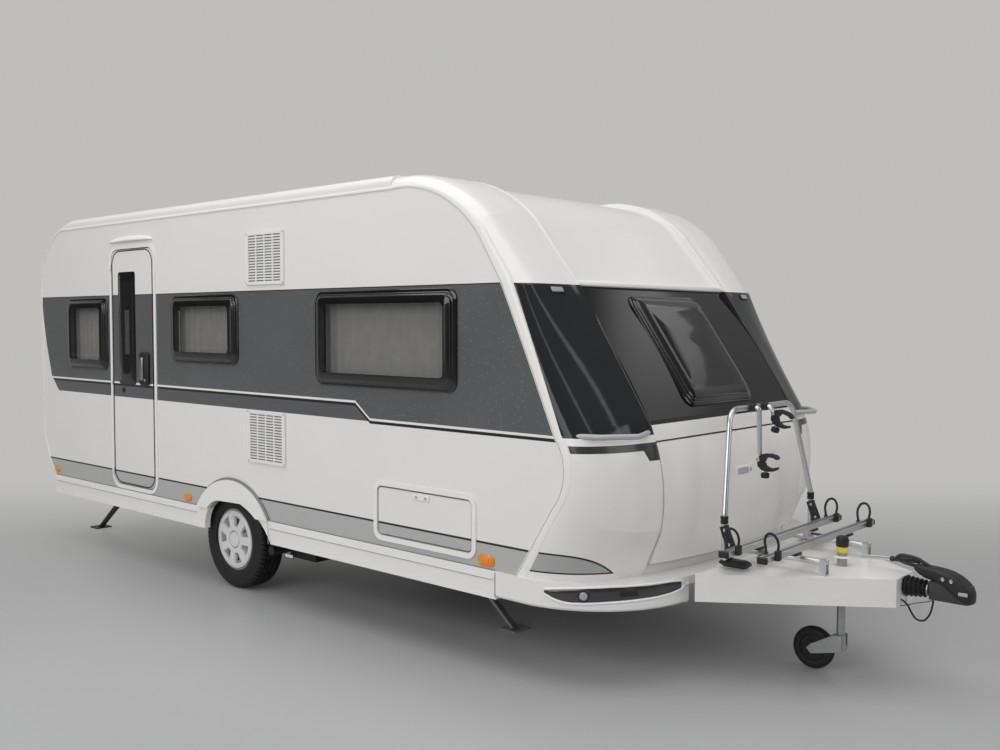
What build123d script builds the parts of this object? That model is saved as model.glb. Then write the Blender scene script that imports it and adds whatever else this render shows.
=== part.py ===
from build123d import *
import math
import os

os.makedirs("parts", exist_ok=True)

# A travel caravan, in millimetres. +X points forward to the coupling, the
# entrance door is on the -Y side, and the floor it stands on is at Z 0.

# Driving sizes of the whole caravan
body_length = 5642
drawbar_reach = 1188
rear_reach = 40
body_width = 2300
roof_height = 2530
axle_share = 0.462247
wall = 32
skirt_top = 514
skirt_bottom = 375
band_top = 1915
lid_top = 1165
lid_bottom = 560
inner_half = 720
roof_edge_round = 48
seam = 4
fine_gap = 0.3
cut_over = 20

overall_length = rear_reach + body_length + drawbar_reach
half_width = body_width / 2
half_length = overall_length / 2
rear_x = rear_reach - half_length
axle_x = rear_x + axle_share * body_length
tip_x = half_length
sill_share = skirt_top / roof_height


def along(share):
    """Station on the body's length, 0 at its back and 1 at the tip of its nose."""
    return rear_x + share * body_length


def up(share):
    """Height over the floor as a share of the roof's height."""
    return share * roof_height


def spot(pair):
    return (along(pair[0]), up(pair[1]))


def side_plane(y):
    """Upright plane along the caravan: sketch X is X, sketch Y is Z, extrusion goes to -Y."""
    return Plane(origin=(0, y, 0), x_dir=(1, 0, 0), z_dir=(0, -1, 0))


def trace(start, rows):
    """Draws lines and arcs from start: each row is (via point or None, end point)."""
    here = start
    for via, end in rows:
        if via is None:
            Line(here, end)
        else:
            ThreePointArc(here, via, end)
        here = end
    return here


def inward(points, depth):
    """The points moved sideways, to the right of their path, by a depth."""
    moved = []
    for index, (x, z) in enumerate(points):
        before = points[max(index - 1, 0)]
        after = points[min(index + 1, len(points) - 1)]
        run = math.hypot(after[0] - before[0], after[1] - before[1])
        moved.append((x + depth * (after[1] - before[1]) / run, z - depth * (after[0] - before[0]) / run))
    return moved


def block(x_span, y_span, z_span, mode=Mode.ADD):
    """A box between two values on each axis, inside the part being built."""
    centre = [(low + high) / 2 for low, high in (x_span, y_span, z_span)]
    with Locations(tuple(centre)):
        Box(x_span[1] - x_span[0], y_span[1] - y_span[0], z_span[1] - z_span[0], mode=mode)


def bar(start, end, radius, mode=Mode.ADD):
    """A round bar between two points."""
    reach = Vector(*end) - Vector(*start)
    with BuildSketch(Plane(origin=start, z_dir=reach)) as section:
        Circle(radius)
    extrude(section.sketch, amount=reach.length, mode=mode)


def tube_run(points, radius, bend):
    """A round tube along straight runs joined by bends."""
    with BuildLine() as run:
        FilletPolyline(*points, radius=bend)
    with BuildSketch(Plane(origin=run.line @ 0, z_dir=run.line % 0)) as section:
        Circle(radius)
    sweep(sections=section.sketch, path=run.line)


def save(piece, name):
    piece.part.label = name
    export_step(piece.part, f"parts/{name}.step")


# Side of the body: -1 is the right-hand side, with the door, and +1 the left
sides = [("right", -1), ("left", 1)]

# Outline of a side wall: via point and end point as shares of length and height
side_start_share = (0.0440, sill_share)
side_outline_shares = [
    ((0.0191, 0.2767), (0.0089, 0.3676)),
    (None, (0.0092, 0.7510)),
    ((0.0271, 0.8933), (0.0723, 0.9605)),
    (None, (0.7458, 0.9605)),
    ((0.8167, 0.9312), (0.8596, 0.8502)),
    (None, (0.8864, 0.7557)),
    ((0.9164, 0.6126), (0.9447, 0.4723)),
    ((0.9541, 0.4111), (0.9419, 0.3391)),
    (None, (0.9041, sill_share)),
]
# Outline of the roof and the back, seen from the side
roof_share = 0.9901
shell_foot_share = 0.155
shell_start_share = (0.0379, shell_foot_share)
shell_outline_shares = [
    (None, (0.0333, sill_share)),
    ((0.0085, 0.2925), (0.0007, 0.3676)),
    (None, (0.0, 0.6233)),
    (None, (0.0023, 0.7628)),
    ((0.0315, 0.9200), (0.0989, roof_share)),
    (None, (0.7458, roof_share)),
]
# Outline of the middle of the nose, from the roof down to the sill
nose_start_share = (0.7458, 0.9822)
nose_outline_shares = [
    (None, (0.7790, 0.9709)),
    ((0.8179, 0.9505), (0.8549, 0.8885)),
    (None, (0.9034, 0.7589)),
    ((0.9470, 0.6324), (0.9851, 0.4972)),
    ((0.9988, 0.3755), (0.9972, 0.2937)),
    (None, (0.9798, sill_share)),
]
nose_back_share = 0.7458
# Corner of the nose: side point, inner point and how square it turns there.
# Points 0 1 2 are an arc, 2 3 a line, 3 4 5 and 5 6 7 are arcs, 7 8 a line.
corner_shares = [
    ((0.7458, 0.9605), (0.7458, roof_share), 1.0),
    ((0.8167, 0.9312), (0.8079, 0.9700), 1.0),
    ((0.8596, 0.8502), (0.8593, 0.8965), 1.0),
    ((0.8864, 0.7557), (0.9116, 0.7530), 0.6),
    ((0.9164, 0.6126), (0.9470, 0.6324), 0.0),
    ((0.9447, 0.4723), (0.9851, 0.4972), 0.0),
    ((0.9541, 0.4111), (0.9988, 0.3755), 0.0),
    ((0.9419, 0.3391), (0.9972, 0.2937), 0.0),
    ((0.9041, sill_share), (0.9798, sill_share), 0.0),
]
# Sections of the corner: inset from the side, square blend, round blend
corner_section_shares = [
    (0.0, 0.12, 0.08),
    (0.035, 0.52, 0.28),
    (0.116, 0.82, 0.47),
    (0.20, 0.925, 0.60),
    (0.30, 0.972, 0.71),
    (0.45, 0.992, 0.83),
    (0.62, 0.998, 0.92),
    (0.80, 1.0, 0.97),
    (1.0, 1.0, 1.0),
]


def outline_points(start_share, rows):
    return spot(start_share), [(None if via is None else spot(via), spot(end)) for via, end in rows]


def side_sketch():
    """Face of a side wall, in the sketch being built."""
    with BuildLine() as outline:
        start, rows = outline_points(side_start_share, side_outline_shares)
        Line(trace(start, rows), start)
    make_face(outline.line.edges())


def corner_points(square, round_blend):
    points = []
    for side, inner, squareness in corner_shares:
        blend = round_blend + (square - round_blend) * squareness
        x_share = side[0] + (inner[0] - side[0]) * blend
        z_share = side[1] + (inner[1] - side[1]) * blend
        points.append(spot((x_share, z_share)))
    return points


def corner_section(y, points):
    """Upright section of the nose's corner, from its arcs back to a plain edge."""
    with BuildSketch(side_plane(y)) as section:
        with BuildLine():
            ThreePointArc(points[0], points[1], points[2])
            Line(points[2], points[3])
            ThreePointArc(points[3], points[4], points[5])
            ThreePointArc(points[5], points[6], points[7])
            Line(points[7], points[8])
            Polyline(points[8], (points[0][0] - cut_over, points[8][1]), (points[0][0] - cut_over, points[0][1]),
                     points[0])
        make_face()
    return section.sketch


# Window panes, as one table: side, centre station and height shares, width, height
small_pane_width = 620
middle_pane_width = 780
large_pane_width = 1130
tall_pane_height = 530
low_pane_height = 445
pane_proud = 36
pane_lap = 30
pane_corner = 60
pane_edge = 22
window_rows = [
    (-1, 0.1450, 0.6462, small_pane_width, tall_pane_height),
    (-1, 0.4259, 0.6630, middle_pane_width, low_pane_height),
    (-1, 0.7325, 0.6462, large_pane_width, tall_pane_height),
    (1, 0.2500, 0.6462, middle_pane_width, tall_pane_height),
    (1, 0.7325, 0.6462, large_pane_width, tall_pane_height),
]
end_pane_width = 1250
end_pane_share = 0.6462
front_pane_half = 345
front_pane_shares = (0.5138, 0.7372)

# Entrance door: leaf, frame and hinge
door_station_share = 0.2640
door_width = 568
door_foot = 556
door_height = 1680
door_corner = 70
door_gap = 8
jamb = 14
frame_lap = 14
frame_proud = 6
door_proud = 4
door_hinge_out = 14
door_pane_width = 240
door_pane_height = 800
door_pane_foot = 1280
door_pane_forward = -75
door_pane_corner = 20

# Service flap low on the right-hand side
flap_station_share = 0.7880
flap_width = 690
flap_height = 252
flap_foot = 583
flap_corner = 22
flap_gap = 9
flap_hinge_out = 14

# Wheels and axle
tyre_radius = 318
tyre_width = 190
tyre_bore = 186
tyre_shoulder = 26
tyre_inset = 60
tyre_outer_y = half_width - tyre_inset
rim_flange = 199
rim_well = 168
rim_wall = 9
hub_radius = 62
hub_length = 120
stub_radius = 20
stub_clearance = 0.05
spoke_plate = 9
disc_inset = 26
hole_count = 9
hole_ring = 118
hole_radius = 22
drum_radius = 126
drum_depth = 56
axle_tube_radius = 45
axle_tube_ahead = 165
axle_tube_rise = -36
arm_depth = 84
arm_thickness = 30

# Wheel arch: crescent outline from the axle, as shares of the tyre's radius
arch_foot_shares = (-0.67, 1.16)
arch_inner_shares = [((-0.50, 1.63), (-0.04, 1.83)), (None, (0.66, 1.85)), ((1.15, 1.64), (1.62, 1.16))]
arch_lip_shares = [(-0.90, 1.616), (0.26, 2.28), (1.54, 1.616)]
arch_proud = 26
box_half_length = 385
box_top = 700
box_depth = 300
box_wall = 12

# Floor and steel chassis
floor_thickness = 40
rail_width = 46
rail_height = 128
rail_half_track = 520
drawbar_top = 448
drawbar_height = 62
drawbar_start_share = 0.77
drawbar_end_back = 435
drawbar_end_half = 66

# Step 1: the long walls, with their windows, door and flap cut out


def wall_slab(side, outer, depth):
    """Sketch height on Y from which an extrusion to -Y fills outer to outer - depth."""
    if side < 0:
        return depth - outer
    return outer


def window_places(side):
    return [row[1:] for row in window_rows if row[0] == side]


door_x = along(door_station_share)
door_centre_z = door_foot + door_height / 2
flap_x = along(flap_station_share)
flap_centre_z = flap_foot + flap_height / 2
door_rough = door_gap + jamb
flap_rough = flap_gap + jamb


def arch_sketch_points():
    def arch_spot(pair):
        return (axle_x + pair[0] * tyre_radius, pair[1] * tyre_radius)
    start = arch_spot(arch_foot_shares)
    rows = [(None if via is None else arch_spot(via), arch_spot(end)) for via, end in arch_inner_shares]
    return start, rows


for side_name, side in sides:
    with BuildPart() as side_wall:
        with BuildSketch(side_plane(wall_slab(side, half_width, wall))):
            side_sketch()
            for station, height, pane_w, pane_h in window_places(side):
                with Locations(spot((station, height))):
                    RectangleRounded(pane_w - 2 * pane_lap, pane_h - 2 * pane_lap, pane_corner - pane_edge,
                                     mode=Mode.SUBTRACT)
            if side < 0:
                with Locations((door_x, door_centre_z)):
                    RectangleRounded(door_width + 2 * door_rough, door_height + 2 * door_rough,
                                     door_corner + door_rough, mode=Mode.SUBTRACT)
                with Locations((flap_x, flap_centre_z)):
                    RectangleRounded(flap_width + 2 * flap_rough, flap_height + 2 * flap_rough,
                                     flap_corner + flap_rough, mode=Mode.SUBTRACT)
            with BuildLine():
                arch_start, arch_rows = arch_sketch_points()
                arch_end = trace(arch_start, arch_rows)
                Polyline(arch_end, (arch_end[0], 0), (arch_start[0], 0), arch_start)
            make_face(mode=Mode.SUBTRACT)
        extrude(amount=wall)
    save(side_wall, f"side_wall_{side_name}")

# Step 2: one closed skin for roof and back, then cut where its panels meet
roof_cut_share = 0.0723
rear_cut_height = 800
skin_start, skin_rows = outline_points(shell_start_share, shell_outline_shares)
skin_end = skin_rows[-1][1]


def skin_section(y, depth):
    """Upright section of the skin, its outline moved in by a depth."""
    path = [skin_start]
    for via, end in skin_rows:
        path += [end] if via is None else [via, end]
    moved = inward(path, depth)
    moved[0] = (moved[0][0], skin_start[1])
    moved[-1] = (skin_end[0], moved[-1][1])
    steps = iter(moved[1:])
    moved_rows = [(None if via is None else next(steps), next(steps)) for via, end in skin_rows]
    with BuildSketch(side_plane(y)) as section:
        with BuildLine():
            end = trace(moved[0], moved_rows)
            Polyline(end, (end[0], moved[0][1]), moved[0])
        make_face()
    return section.sketch


# Turns round the quarter circle of the skin's rim, in degrees
rim_turns = [0, 22.5, 45, 67.5, 90]
rim_steps = [(half_width - roof_edge_round * (1 - math.sin(math.radians(turn))),
              roof_edge_round * (1 - math.cos(math.radians(turn)))) for turn in rim_turns]
with BuildPart() as skin:
    extrude(skin_section(rim_steps[0][0], 0), amount=2 * rim_steps[0][0])
    for side_name, side in sides:
        loft([skin_section(side * y, depth) for y, depth in rim_steps])
    extrude(skin_section(half_width - wall, wall), amount=body_width - 2 * wall, mode=Mode.SUBTRACT)
    block((skin_end[0] - wall - cut_over, skin_end[0] + cut_over), (wall - half_width, half_width - wall),
          (0, skin_end[1] - wall), mode=Mode.SUBTRACT)
    block((along(roof_cut_share), skin_end[0] + cut_over), (-body_width, body_width), (0, up(0.6)), mode=Mode.SUBTRACT)
    block((rear_x, skin_end[0] + cut_over), (wall - half_width, half_width - wall),
          (skin_start[1] - cut_over, skin_start[1] + wall + cut_over), mode=Mode.SUBTRACT)
    with BuildSketch(side_plane(half_width + cut_over)):
        side_sketch()
    extrude(amount=body_width + 2 * cut_over, mode=Mode.SUBTRACT)

roof_light_rows = [(0.555, 700, 500), (0.245, 400, 400)]
roof_light_rise = 96
roof_light_edge = 40

with BuildPart() as roof_panel:
    add(skin.part)
    block((along(roof_cut_share), half_length), (-body_width, body_width), (0, overall_length), mode=Mode.INTERSECT)
save(roof_panel, "roof_panel")

rear_pane_centre = up(end_pane_share)
with BuildPart() as rear_wall:
    add(skin.part)
    block((-half_length, along(roof_cut_share)), (-body_width, body_width), (rear_cut_height, overall_length),
          mode=Mode.INTERSECT)
    with BuildSketch(Plane(origin=(rear_x - cut_over, 0, rear_pane_centre), x_dir=(0, 1, 0), z_dir=(1, 0, 0))):
        RectangleRounded(end_pane_width - 2 * pane_lap, tall_pane_height - 2 * pane_lap, pane_corner - pane_edge)
    extrude(amount=wall + 4 * cut_over, mode=Mode.SUBTRACT)
save(rear_wall, "rear_wall")

# Rear bumper moulding and the lamps set flush in it
tail_lamp_width = 330
tail_lamp_height = 104
tail_lamp_inset = 245
tail_lamp_out = half_width - tail_lamp_inset
tail_lamp_centre = 700
lamp_clearance = 0.4
rear_lip_share = 0.0560
with BuildPart() as rear_bumper:
    add(skin.part)
    block((-half_length, along(rear_lip_share)), (-body_width, body_width), (0, rear_cut_height - seam),
          mode=Mode.INTERSECT)
    block((along(shell_start_share[0]) + wall - fine_gap, 0), (-body_width, body_width), (0, skirt_top),
          mode=Mode.SUBTRACT)
    for side_name, side in sides:
        with BuildSketch(Plane(origin=(-half_length, side * tail_lamp_out, tail_lamp_centre), x_dir=(0, 1, 0),
                               z_dir=(1, 0, 0))):
            RectangleRounded(tail_lamp_width, tail_lamp_height, tail_lamp_height / 4)
        extrude(amount=wall * 8, mode=Mode.SUBTRACT)
save(rear_bumper, "rear_bumper")
with BuildPart() as tail_lamps:
    for side_name, side in sides:
        with BuildSketch(Plane(origin=(-half_length, side * tail_lamp_out, tail_lamp_centre), x_dir=(0, 1, 0),
                               z_dir=(1, 0, 0))):
            RectangleRounded(tail_lamp_width - 2 * lamp_clearance, tail_lamp_height - 2 * lamp_clearance,
                             tail_lamp_height / 4 - lamp_clearance)
        extrude(amount=wall * 8)
    add(skin.part, mode=Mode.INTERSECT)
save(tail_lamps, "tail_lamps")

# Step 3: the nose. Its corners are lofted from upright sections, its middle is a plain bend
rib_overlap = 10
rib_lap = 8
corner_width = half_width - inner_half
nose_start, nose_rows = outline_points(nose_start_share, nose_outline_shares)
nose_sill = nose_rows[-1][1]

with BuildPart() as nose_core:
    with BuildSketch(side_plane(inner_half + wall)):
        with BuildLine():
            nose_end = trace(nose_start, nose_rows)
            Polyline(nose_end, (nose_start[0] - 2 * cut_over, nose_end[1]), (nose_start[0] - 2 * cut_over, nose_start[1]),
                     nose_start)
        make_face()
        offset(amount=-wall, kind=Kind.INTERSECTION)
    extrude(amount=2 * (inner_half + wall))
    block((nose_start[0] - 4 * cut_over, nose_end[0] - wall - seam), (-inner_half - wall, inner_half + wall),
          (skirt_top - cut_over, skirt_top + wall + cut_over))
    block((nose_start[0] - 4 * cut_over, nose_start[0] + cut_over), (-inner_half - wall, inner_half + wall),
          (skirt_top, nose_start[1] - wall))

with BuildPart() as corner_shell:
    loft([corner_section(-half_width + inset * corner_width, corner_points(square, round_blend))
          for inset, square, round_blend in corner_section_shares])
with BuildPart() as corner_hollow:
    hollow_sections = []
    for inset, square, round_blend in corner_section_shares:
        hollow_y = -half_width + wall + inset * (corner_width - 2 * wall)
        hollow = inward(corner_points(square, round_blend), wall)
        hollow[0] = (hollow[0][0] - 2 * cut_over, hollow[0][1])
        hollow[8] = (hollow[8][0], hollow[8][1] - cut_over)
        hollow_sections.append(corner_section(hollow_y, hollow))
    loft(hollow_sections)
# The corner ends in a rib, which stands on the lower middle of the nose and closes the step to it
rib_half = inner_half + wall + rib_overlap
with BuildPart() as rib_core:
    with BuildSketch(side_plane(rib_half)):
        with BuildLine():
            trace(nose_start, nose_rows)
            Polyline(nose_end, (nose_start[0] - 4 * cut_over, nose_end[1]), (nose_start[0] - 4 * cut_over, nose_start[1]),
                     nose_start)
        make_face()
        offset(amount=-wall - rib_lap, kind=Kind.INTERSECTION)
    extrude(amount=2 * rib_half)
    block((nose_start[0] - 2 * cut_over, nose_end[0] - wall - 2 * rib_lap), (-rib_half, rib_half),
          (skirt_top - cut_over, skirt_top + 2 * wall))
with BuildPart() as corner_right:
    add(corner_shell.part)
    add(corner_hollow.part, mode=Mode.SUBTRACT)
    add(rib_core.part, mode=Mode.SUBTRACT)
    block((nose_start[0] - 8 * cut_over, nose_start[0]), (-body_width, body_width), (0, overall_length),
          mode=Mode.SUBTRACT)
    with BuildSketch(side_plane(half_width + cut_over)):
        side_sketch()
    extrude(amount=body_width + 2 * cut_over, mode=Mode.SUBTRACT)

# Each corner in three mouldings: name, bottom and top
corner_rows = [
    ("shoulder", band_top, roof_height + cut_over),
    ("corner", lid_top, band_top),
    ("lower_corner", skirt_top, lid_top),
]
for side_name, side in sides:
    for piece_name, low, high in corner_rows:
        with BuildPart() as corner_piece:
            add(corner_right.part)
            block((0, half_length), (-body_width, body_width), (low, high), mode=Mode.INTERSECT)
            if side > 0:
                mirror(about=Plane.XZ, mode=Mode.REPLACE)
        save(corner_piece, f"{piece_name}_{side_name}")


def nose_band(low, high, half):
    """The bent middle of the nose between two heights."""
    with BuildSketch(side_plane(half)) as outline:
        with BuildLine():
            end = trace(nose_start, nose_rows)
            Polyline(end, (nose_start[0] - 2 * cut_over, end[1]), (nose_start[0] - 2 * cut_over, nose_start[1]),
                     nose_start)
        make_face()
    extrude(outline.sketch, amount=2 * half)
    add(nose_core.part, mode=Mode.SUBTRACT)
    block((nose_start[0], half_length), (-half, half), (low, high), mode=Mode.INTERSECT)


front_ledge = 16
front_ledge_height = 24
with BuildPart() as front_top_panel:
    nose_band(band_top, roof_height + cut_over, inner_half)
save(front_top_panel, "front_top_panel")

front_pane_low = up(front_pane_shares[0])
front_pane_high = up(front_pane_shares[1])
with BuildPart() as front_wall:
    nose_band(lid_top, band_top, inner_half)
    with BuildSketch(Plane(origin=(along(nose_back_share), 0, (front_pane_low + front_pane_high) / 2),
                           x_dir=(0, 1, 0), z_dir=(1, 0, 0))):
        RectangleRounded(2 * (front_pane_half - pane_lap), front_pane_high - front_pane_low - 2 * pane_lap,
                         pane_corner - pane_edge)
    extrude(amount=body_length, mode=Mode.SUBTRACT)
save(front_wall, "front_wall")

# Panes: dark acrylic, standing proud of the wall on its outside
for side_name, side in sides:
    with BuildPart() as windows:
        pane_face = side * half_width
        for station, height, pane_w, pane_h in window_places(side):
            with BuildSketch(Plane(origin=(0, pane_face, 0), x_dir=(side * -1, 0, 0), z_dir=(0, side, 0))):
                with Locations((side * -1 * along(station), up(height))):
                    RectangleRounded(pane_w, pane_h, pane_corner)
            extrude(amount=pane_proud)
        pane_rim = windows.edges().filter_by(
            lambda edge: abs(abs(edge.center().Y) - half_width - pane_proud) < fine_gap)
        fillet(pane_rim, radius=pane_edge)
    save(windows, f"windows_{side_name}")

with BuildPart() as rear_window:
    with BuildSketch(Plane(origin=(rear_x - rear_reach, 0, rear_pane_centre), x_dir=(0, 1, 0), z_dir=(1, 0, 0))):
        RectangleRounded(end_pane_width, tall_pane_height, pane_corner)
    extrude(amount=rear_reach + wall)
    add(skin.part, mode=Mode.SUBTRACT)
    block((-half_length, rear_x), (-half_width, half_width), (0, roof_height), mode=Mode.INTERSECT)
    fillet(rear_window.edges().group_by(Axis.X)[0], radius=pane_edge)
save(rear_window, "rear_window")

with BuildPart() as front_window:
    pane_points = [nose_rows[2][1], nose_rows[3][0], nose_rows[3][1]]
    outer_points = inward(pane_points, -pane_proud)
    with BuildSketch(side_plane(front_pane_half)):
        with BuildLine():
            ThreePointArc(*pane_points)
            Line(pane_points[2], outer_points[2])
            ThreePointArc(outer_points[2], outer_points[1], outer_points[0])
            Line(outer_points[0], pane_points[0])
        make_face()
    extrude(amount=2 * front_pane_half)
    with BuildSketch(Plane(origin=(along(nose_back_share), 0, (front_pane_low + front_pane_high) / 2),
                           x_dir=(0, 1, 0), z_dir=(1, 0, 0))):
        RectangleRounded(2 * front_pane_half, front_pane_high - front_pane_low, pane_corner)
    extrude(amount=body_length, mode=Mode.INTERSECT)
save(front_window, "front_window")

# Step 4: front locker behind the lid, and the lid itself, crowned in plan
bulkhead_share = 0.8757
bulkhead = 20
locker_floor = 8
crown_top = 12
crown_middle = 45
crown_bottom = 95
lid_wall = 26
lid_gap = 9
lid_side_gap = 6
lid_steps = [-1.0, -0.5, 0.0, 0.5, 1.0]

lid_path_shares = [(0.9911, 0.4605), (0.9999, 0.3518), (0.9871, 0.2213)]
lid_path = [spot(pair) for pair in lid_path_shares]
lid_crowns = [crown_top, crown_middle, crown_bottom]
sill_path = [(lid_path[2][0], lid_bottom), (nose_sill[0], skirt_top)]


def crowned(points, crowns, share):
    return [(x + crown * (1 - share * share), z) for (x, z), crown in zip(points, crowns)]


with BuildPart() as locker_lid:
    for share in lid_steps:
        outer = crowned(lid_path, lid_crowns, share)
        outer = [(outer[0][0], lid_top - lid_gap), outer[1], (outer[2][0], lid_bottom + lid_gap)]
        inner = [(x - lid_wall, z) for x, z in outer]
        with BuildSketch(side_plane(-share * (inner_half - lid_side_gap))):
            with BuildLine():
                ThreePointArc(*outer)
                Line(outer[2], inner[2])
                ThreePointArc(inner[2], inner[1], inner[0])
                Line(inner[0], outer[0])
            make_face()
    loft()
save(locker_lid, "locker_lid")

shelf_top = lid_top + bulkhead
shelf_front = along(0.9840)
with BuildPart() as locker_box:
    block((along(bulkhead_share), along(bulkhead_share) + bulkhead), (fine_gap + wall - half_width, half_width - wall - fine_gap),
          (skirt_top, shelf_top))
    block((along(bulkhead_share), shelf_front), (-inner_half, inner_half), (lid_top, shelf_top))
    block((along(bulkhead_share), nose_sill[0] - wall - locker_floor - fine_gap), (-inner_half, inner_half),
          (skirt_top, skirt_top + locker_floor))
    with BuildSketch(Plane.XY.offset(skirt_top)):
        with BuildLine():
            sill_front = [(nose_sill[0], -inner_half), (nose_sill[0] + crown_bottom, 0), (nose_sill[0], inner_half)]
            ThreePointArc(*sill_front)
            Polyline(sill_front[2], (nose_sill[0] - wall - locker_floor, inner_half),
                     (nose_sill[0] - wall - locker_floor, -inner_half), sill_front[0])
        make_face()
    extrude(amount=lid_bottom - skirt_top)
save(locker_box, "locker_box")

# Step 5: bumper round the nose, with the lamps sunk in its corners
bumper_lip = 30
bumper_round = 18
bumper_skin = 26
bumper_foot = 385
bumper_path_shares = [(0.880, 1.013), (0.918, 1.013), (0.985, 0.845), (1.010, 0.565), (1.0225, 0.0)]
bumper_points = [(along(a), b * half_width) for a, b in bumper_path_shares]


def bumper_plan(inset):
    """Half plan of the bumper's outside, moved in by an inset, as five points from side to middle."""
    return inward(bumper_points, inset)


def bumper_outline(inset):
    right = [(x, -y) for x, y in bumper_plan(inset)]
    left = [(x, y) for x, y in bumper_plan(inset)]
    Line(right[0], right[1])
    ThreePointArc(right[1], right[2], right[3])
    ThreePointArc(right[3], (right[4][0], 0), left[3])
    ThreePointArc(left[3], left[2], left[1])
    Line(left[1], left[0])
    return right[0], left[0]


front_lamp_z = 447
front_lamp_width = 330
front_lamp_height = 56
front_lamp_turn = 38
cover_notch_half = 600
cover_notch_top = 476


def lamp_slot(side, grow):
    """Upright slot through the bumper's corner, where a lamp sits."""
    middle = (bumper_points[2][0], side * (bumper_points[2][1]), front_lamp_z)
    facing = Vector(math.cos(math.radians(front_lamp_turn)), side * math.sin(math.radians(front_lamp_turn)), 0)
    with BuildSketch(Plane(origin=middle, x_dir=(-facing.Y, facing.X, 0), z_dir=facing)) as slot:
        RectangleRounded(front_lamp_width + 2 * grow, front_lamp_height + 2 * grow, front_lamp_height / 3)
    return slot.sketch


def bumper_section(height, inset):
    """Level section of the bumper, moved in by an inset."""
    with BuildSketch(Plane.XY.offset(height)) as section:
        with BuildLine():
            right, left = bumper_outline(inset)
            Polyline(left, (edge_x, left[1]), (edge_x, right[1]), right)
        make_face()
    return section.sketch


edge_x = bumper_points[0][0] - cut_over
foot_steps = [(bumper_foot + bumper_round * (1 - math.sin(math.radians(turn))),
               bumper_round * (1 - math.cos(math.radians(turn)))) for turn in rim_turns]
with BuildPart() as bumper_ring:
    extrude(bumper_section(foot_steps[0][0], 0), amount=skirt_top - foot_steps[0][0])
    loft([bumper_section(height, inset) for height, inset in foot_steps])
    with BuildSketch(Plane.XY.offset(bumper_foot - cut_over)):
        with BuildLine():
            inner_right, inner_left = bumper_outline(bumper_skin)
            Polyline(inner_left, (inner_left[0] - cut_over, inner_left[1]),
                     (inner_right[0] - cut_over, inner_right[1]), inner_right)
        make_face()
    extrude(amount=skirt_top - bumper_foot + cut_over - bumper_lip, mode=Mode.SUBTRACT)
    block((0, bumper_points[0][0] + fine_gap), (-body_width, body_width), (0, roof_height), mode=Mode.SUBTRACT)

with BuildPart() as front_bumper:
    add(bumper_ring.part)
    for side_name, side in sides:
        extrude(lamp_slot(side, 0), amount=bumper_skin * 3, both=True, mode=Mode.SUBTRACT)
    block((along(nose_back_share), half_length), (-cover_notch_half, cover_notch_half), (0, cover_notch_top),
          mode=Mode.SUBTRACT)
save(front_bumper, "front_bumper")
with BuildPart() as front_lamps:
    for side_name, side in sides:
        extrude(lamp_slot(side, -lamp_clearance), amount=bumper_skin * 3, both=True)
    add(bumper_ring.part, mode=Mode.INTERSECT)
save(front_lamps, "front_lamps")

# Step 6: skirts with the flared wheel arches
skirt_out = 8
for side_name, side in sides:
    with BuildPart() as skirt:
        with BuildSketch(side_plane(wall_slab(side, half_width + skirt_out, wall + skirt_out))):
            with BuildLine():
                Polyline((along(side_start_share[0]), skirt_top), (along(shell_start_share[0]) + wall, skirt_bottom),
                         (bumper_points[0][0], skirt_bottom), (bumper_points[0][0], skirt_top), close=True)
            make_face()
            with BuildLine():
                arch_start, arch_rows = arch_sketch_points()
                arch_end = trace(arch_start, arch_rows)
                Polyline(arch_end, (arch_end[0], 0), (arch_start[0], 0), arch_start)
            make_face(mode=Mode.SUBTRACT)
        extrude(amount=wall + skirt_out)
        with BuildSketch(side_plane(wall_slab(side, half_width + arch_proud, arch_proud))):
            with BuildLine():
                lip = [(axle_x + a * tyre_radius, b * tyre_radius) for a, b in arch_lip_shares]
                lip[0] = (lip[0][0], skirt_top)
                lip[2] = (lip[2][0], skirt_top)
                ThreePointArc(*lip)
                Line(lip[2], lip[0])
            make_face()
            with BuildLine():
                arch_end = trace(arch_start, arch_rows)
                Polyline(arch_end, (arch_end[0], 0), (arch_start[0], 0), arch_start)
            make_face(mode=Mode.SUBTRACT)
        extrude(amount=arch_proud)
    save(skirt, f"skirt_{side_name}")

# Step 7: entrance door and service flap, each a leaf in a frame
with BuildPart() as opening_frames:
    for centre, width, height, corner, gap in [
            ((door_x, door_centre_z), door_width, door_height, door_corner, door_gap),
            ((flap_x, flap_centre_z), flap_width, flap_height, flap_corner, flap_gap)]:
        with BuildSketch(side_plane(wall_slab(-1, half_width, wall))):
            with Locations(centre):
                RectangleRounded(width + 2 * (gap + jamb), height + 2 * (gap + jamb), corner + gap + jamb)
        extrude(amount=wall)
        with BuildSketch(side_plane(-half_width)):
            with Locations(centre):
                RectangleRounded(width + 2 * (gap + jamb + frame_lap), height + 2 * (gap + jamb + frame_lap),
                                 corner + gap + jamb + frame_lap)
        extrude(amount=frame_proud)
        with BuildSketch(side_plane(wall - half_width + cut_over)):
            with Locations(centre):
                RectangleRounded(width + 2 * gap, height + 2 * gap, corner + gap)
        extrude(amount=wall + frame_proud + 2 * cut_over, mode=Mode.SUBTRACT)
save(opening_frames, "opening_frames")

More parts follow.
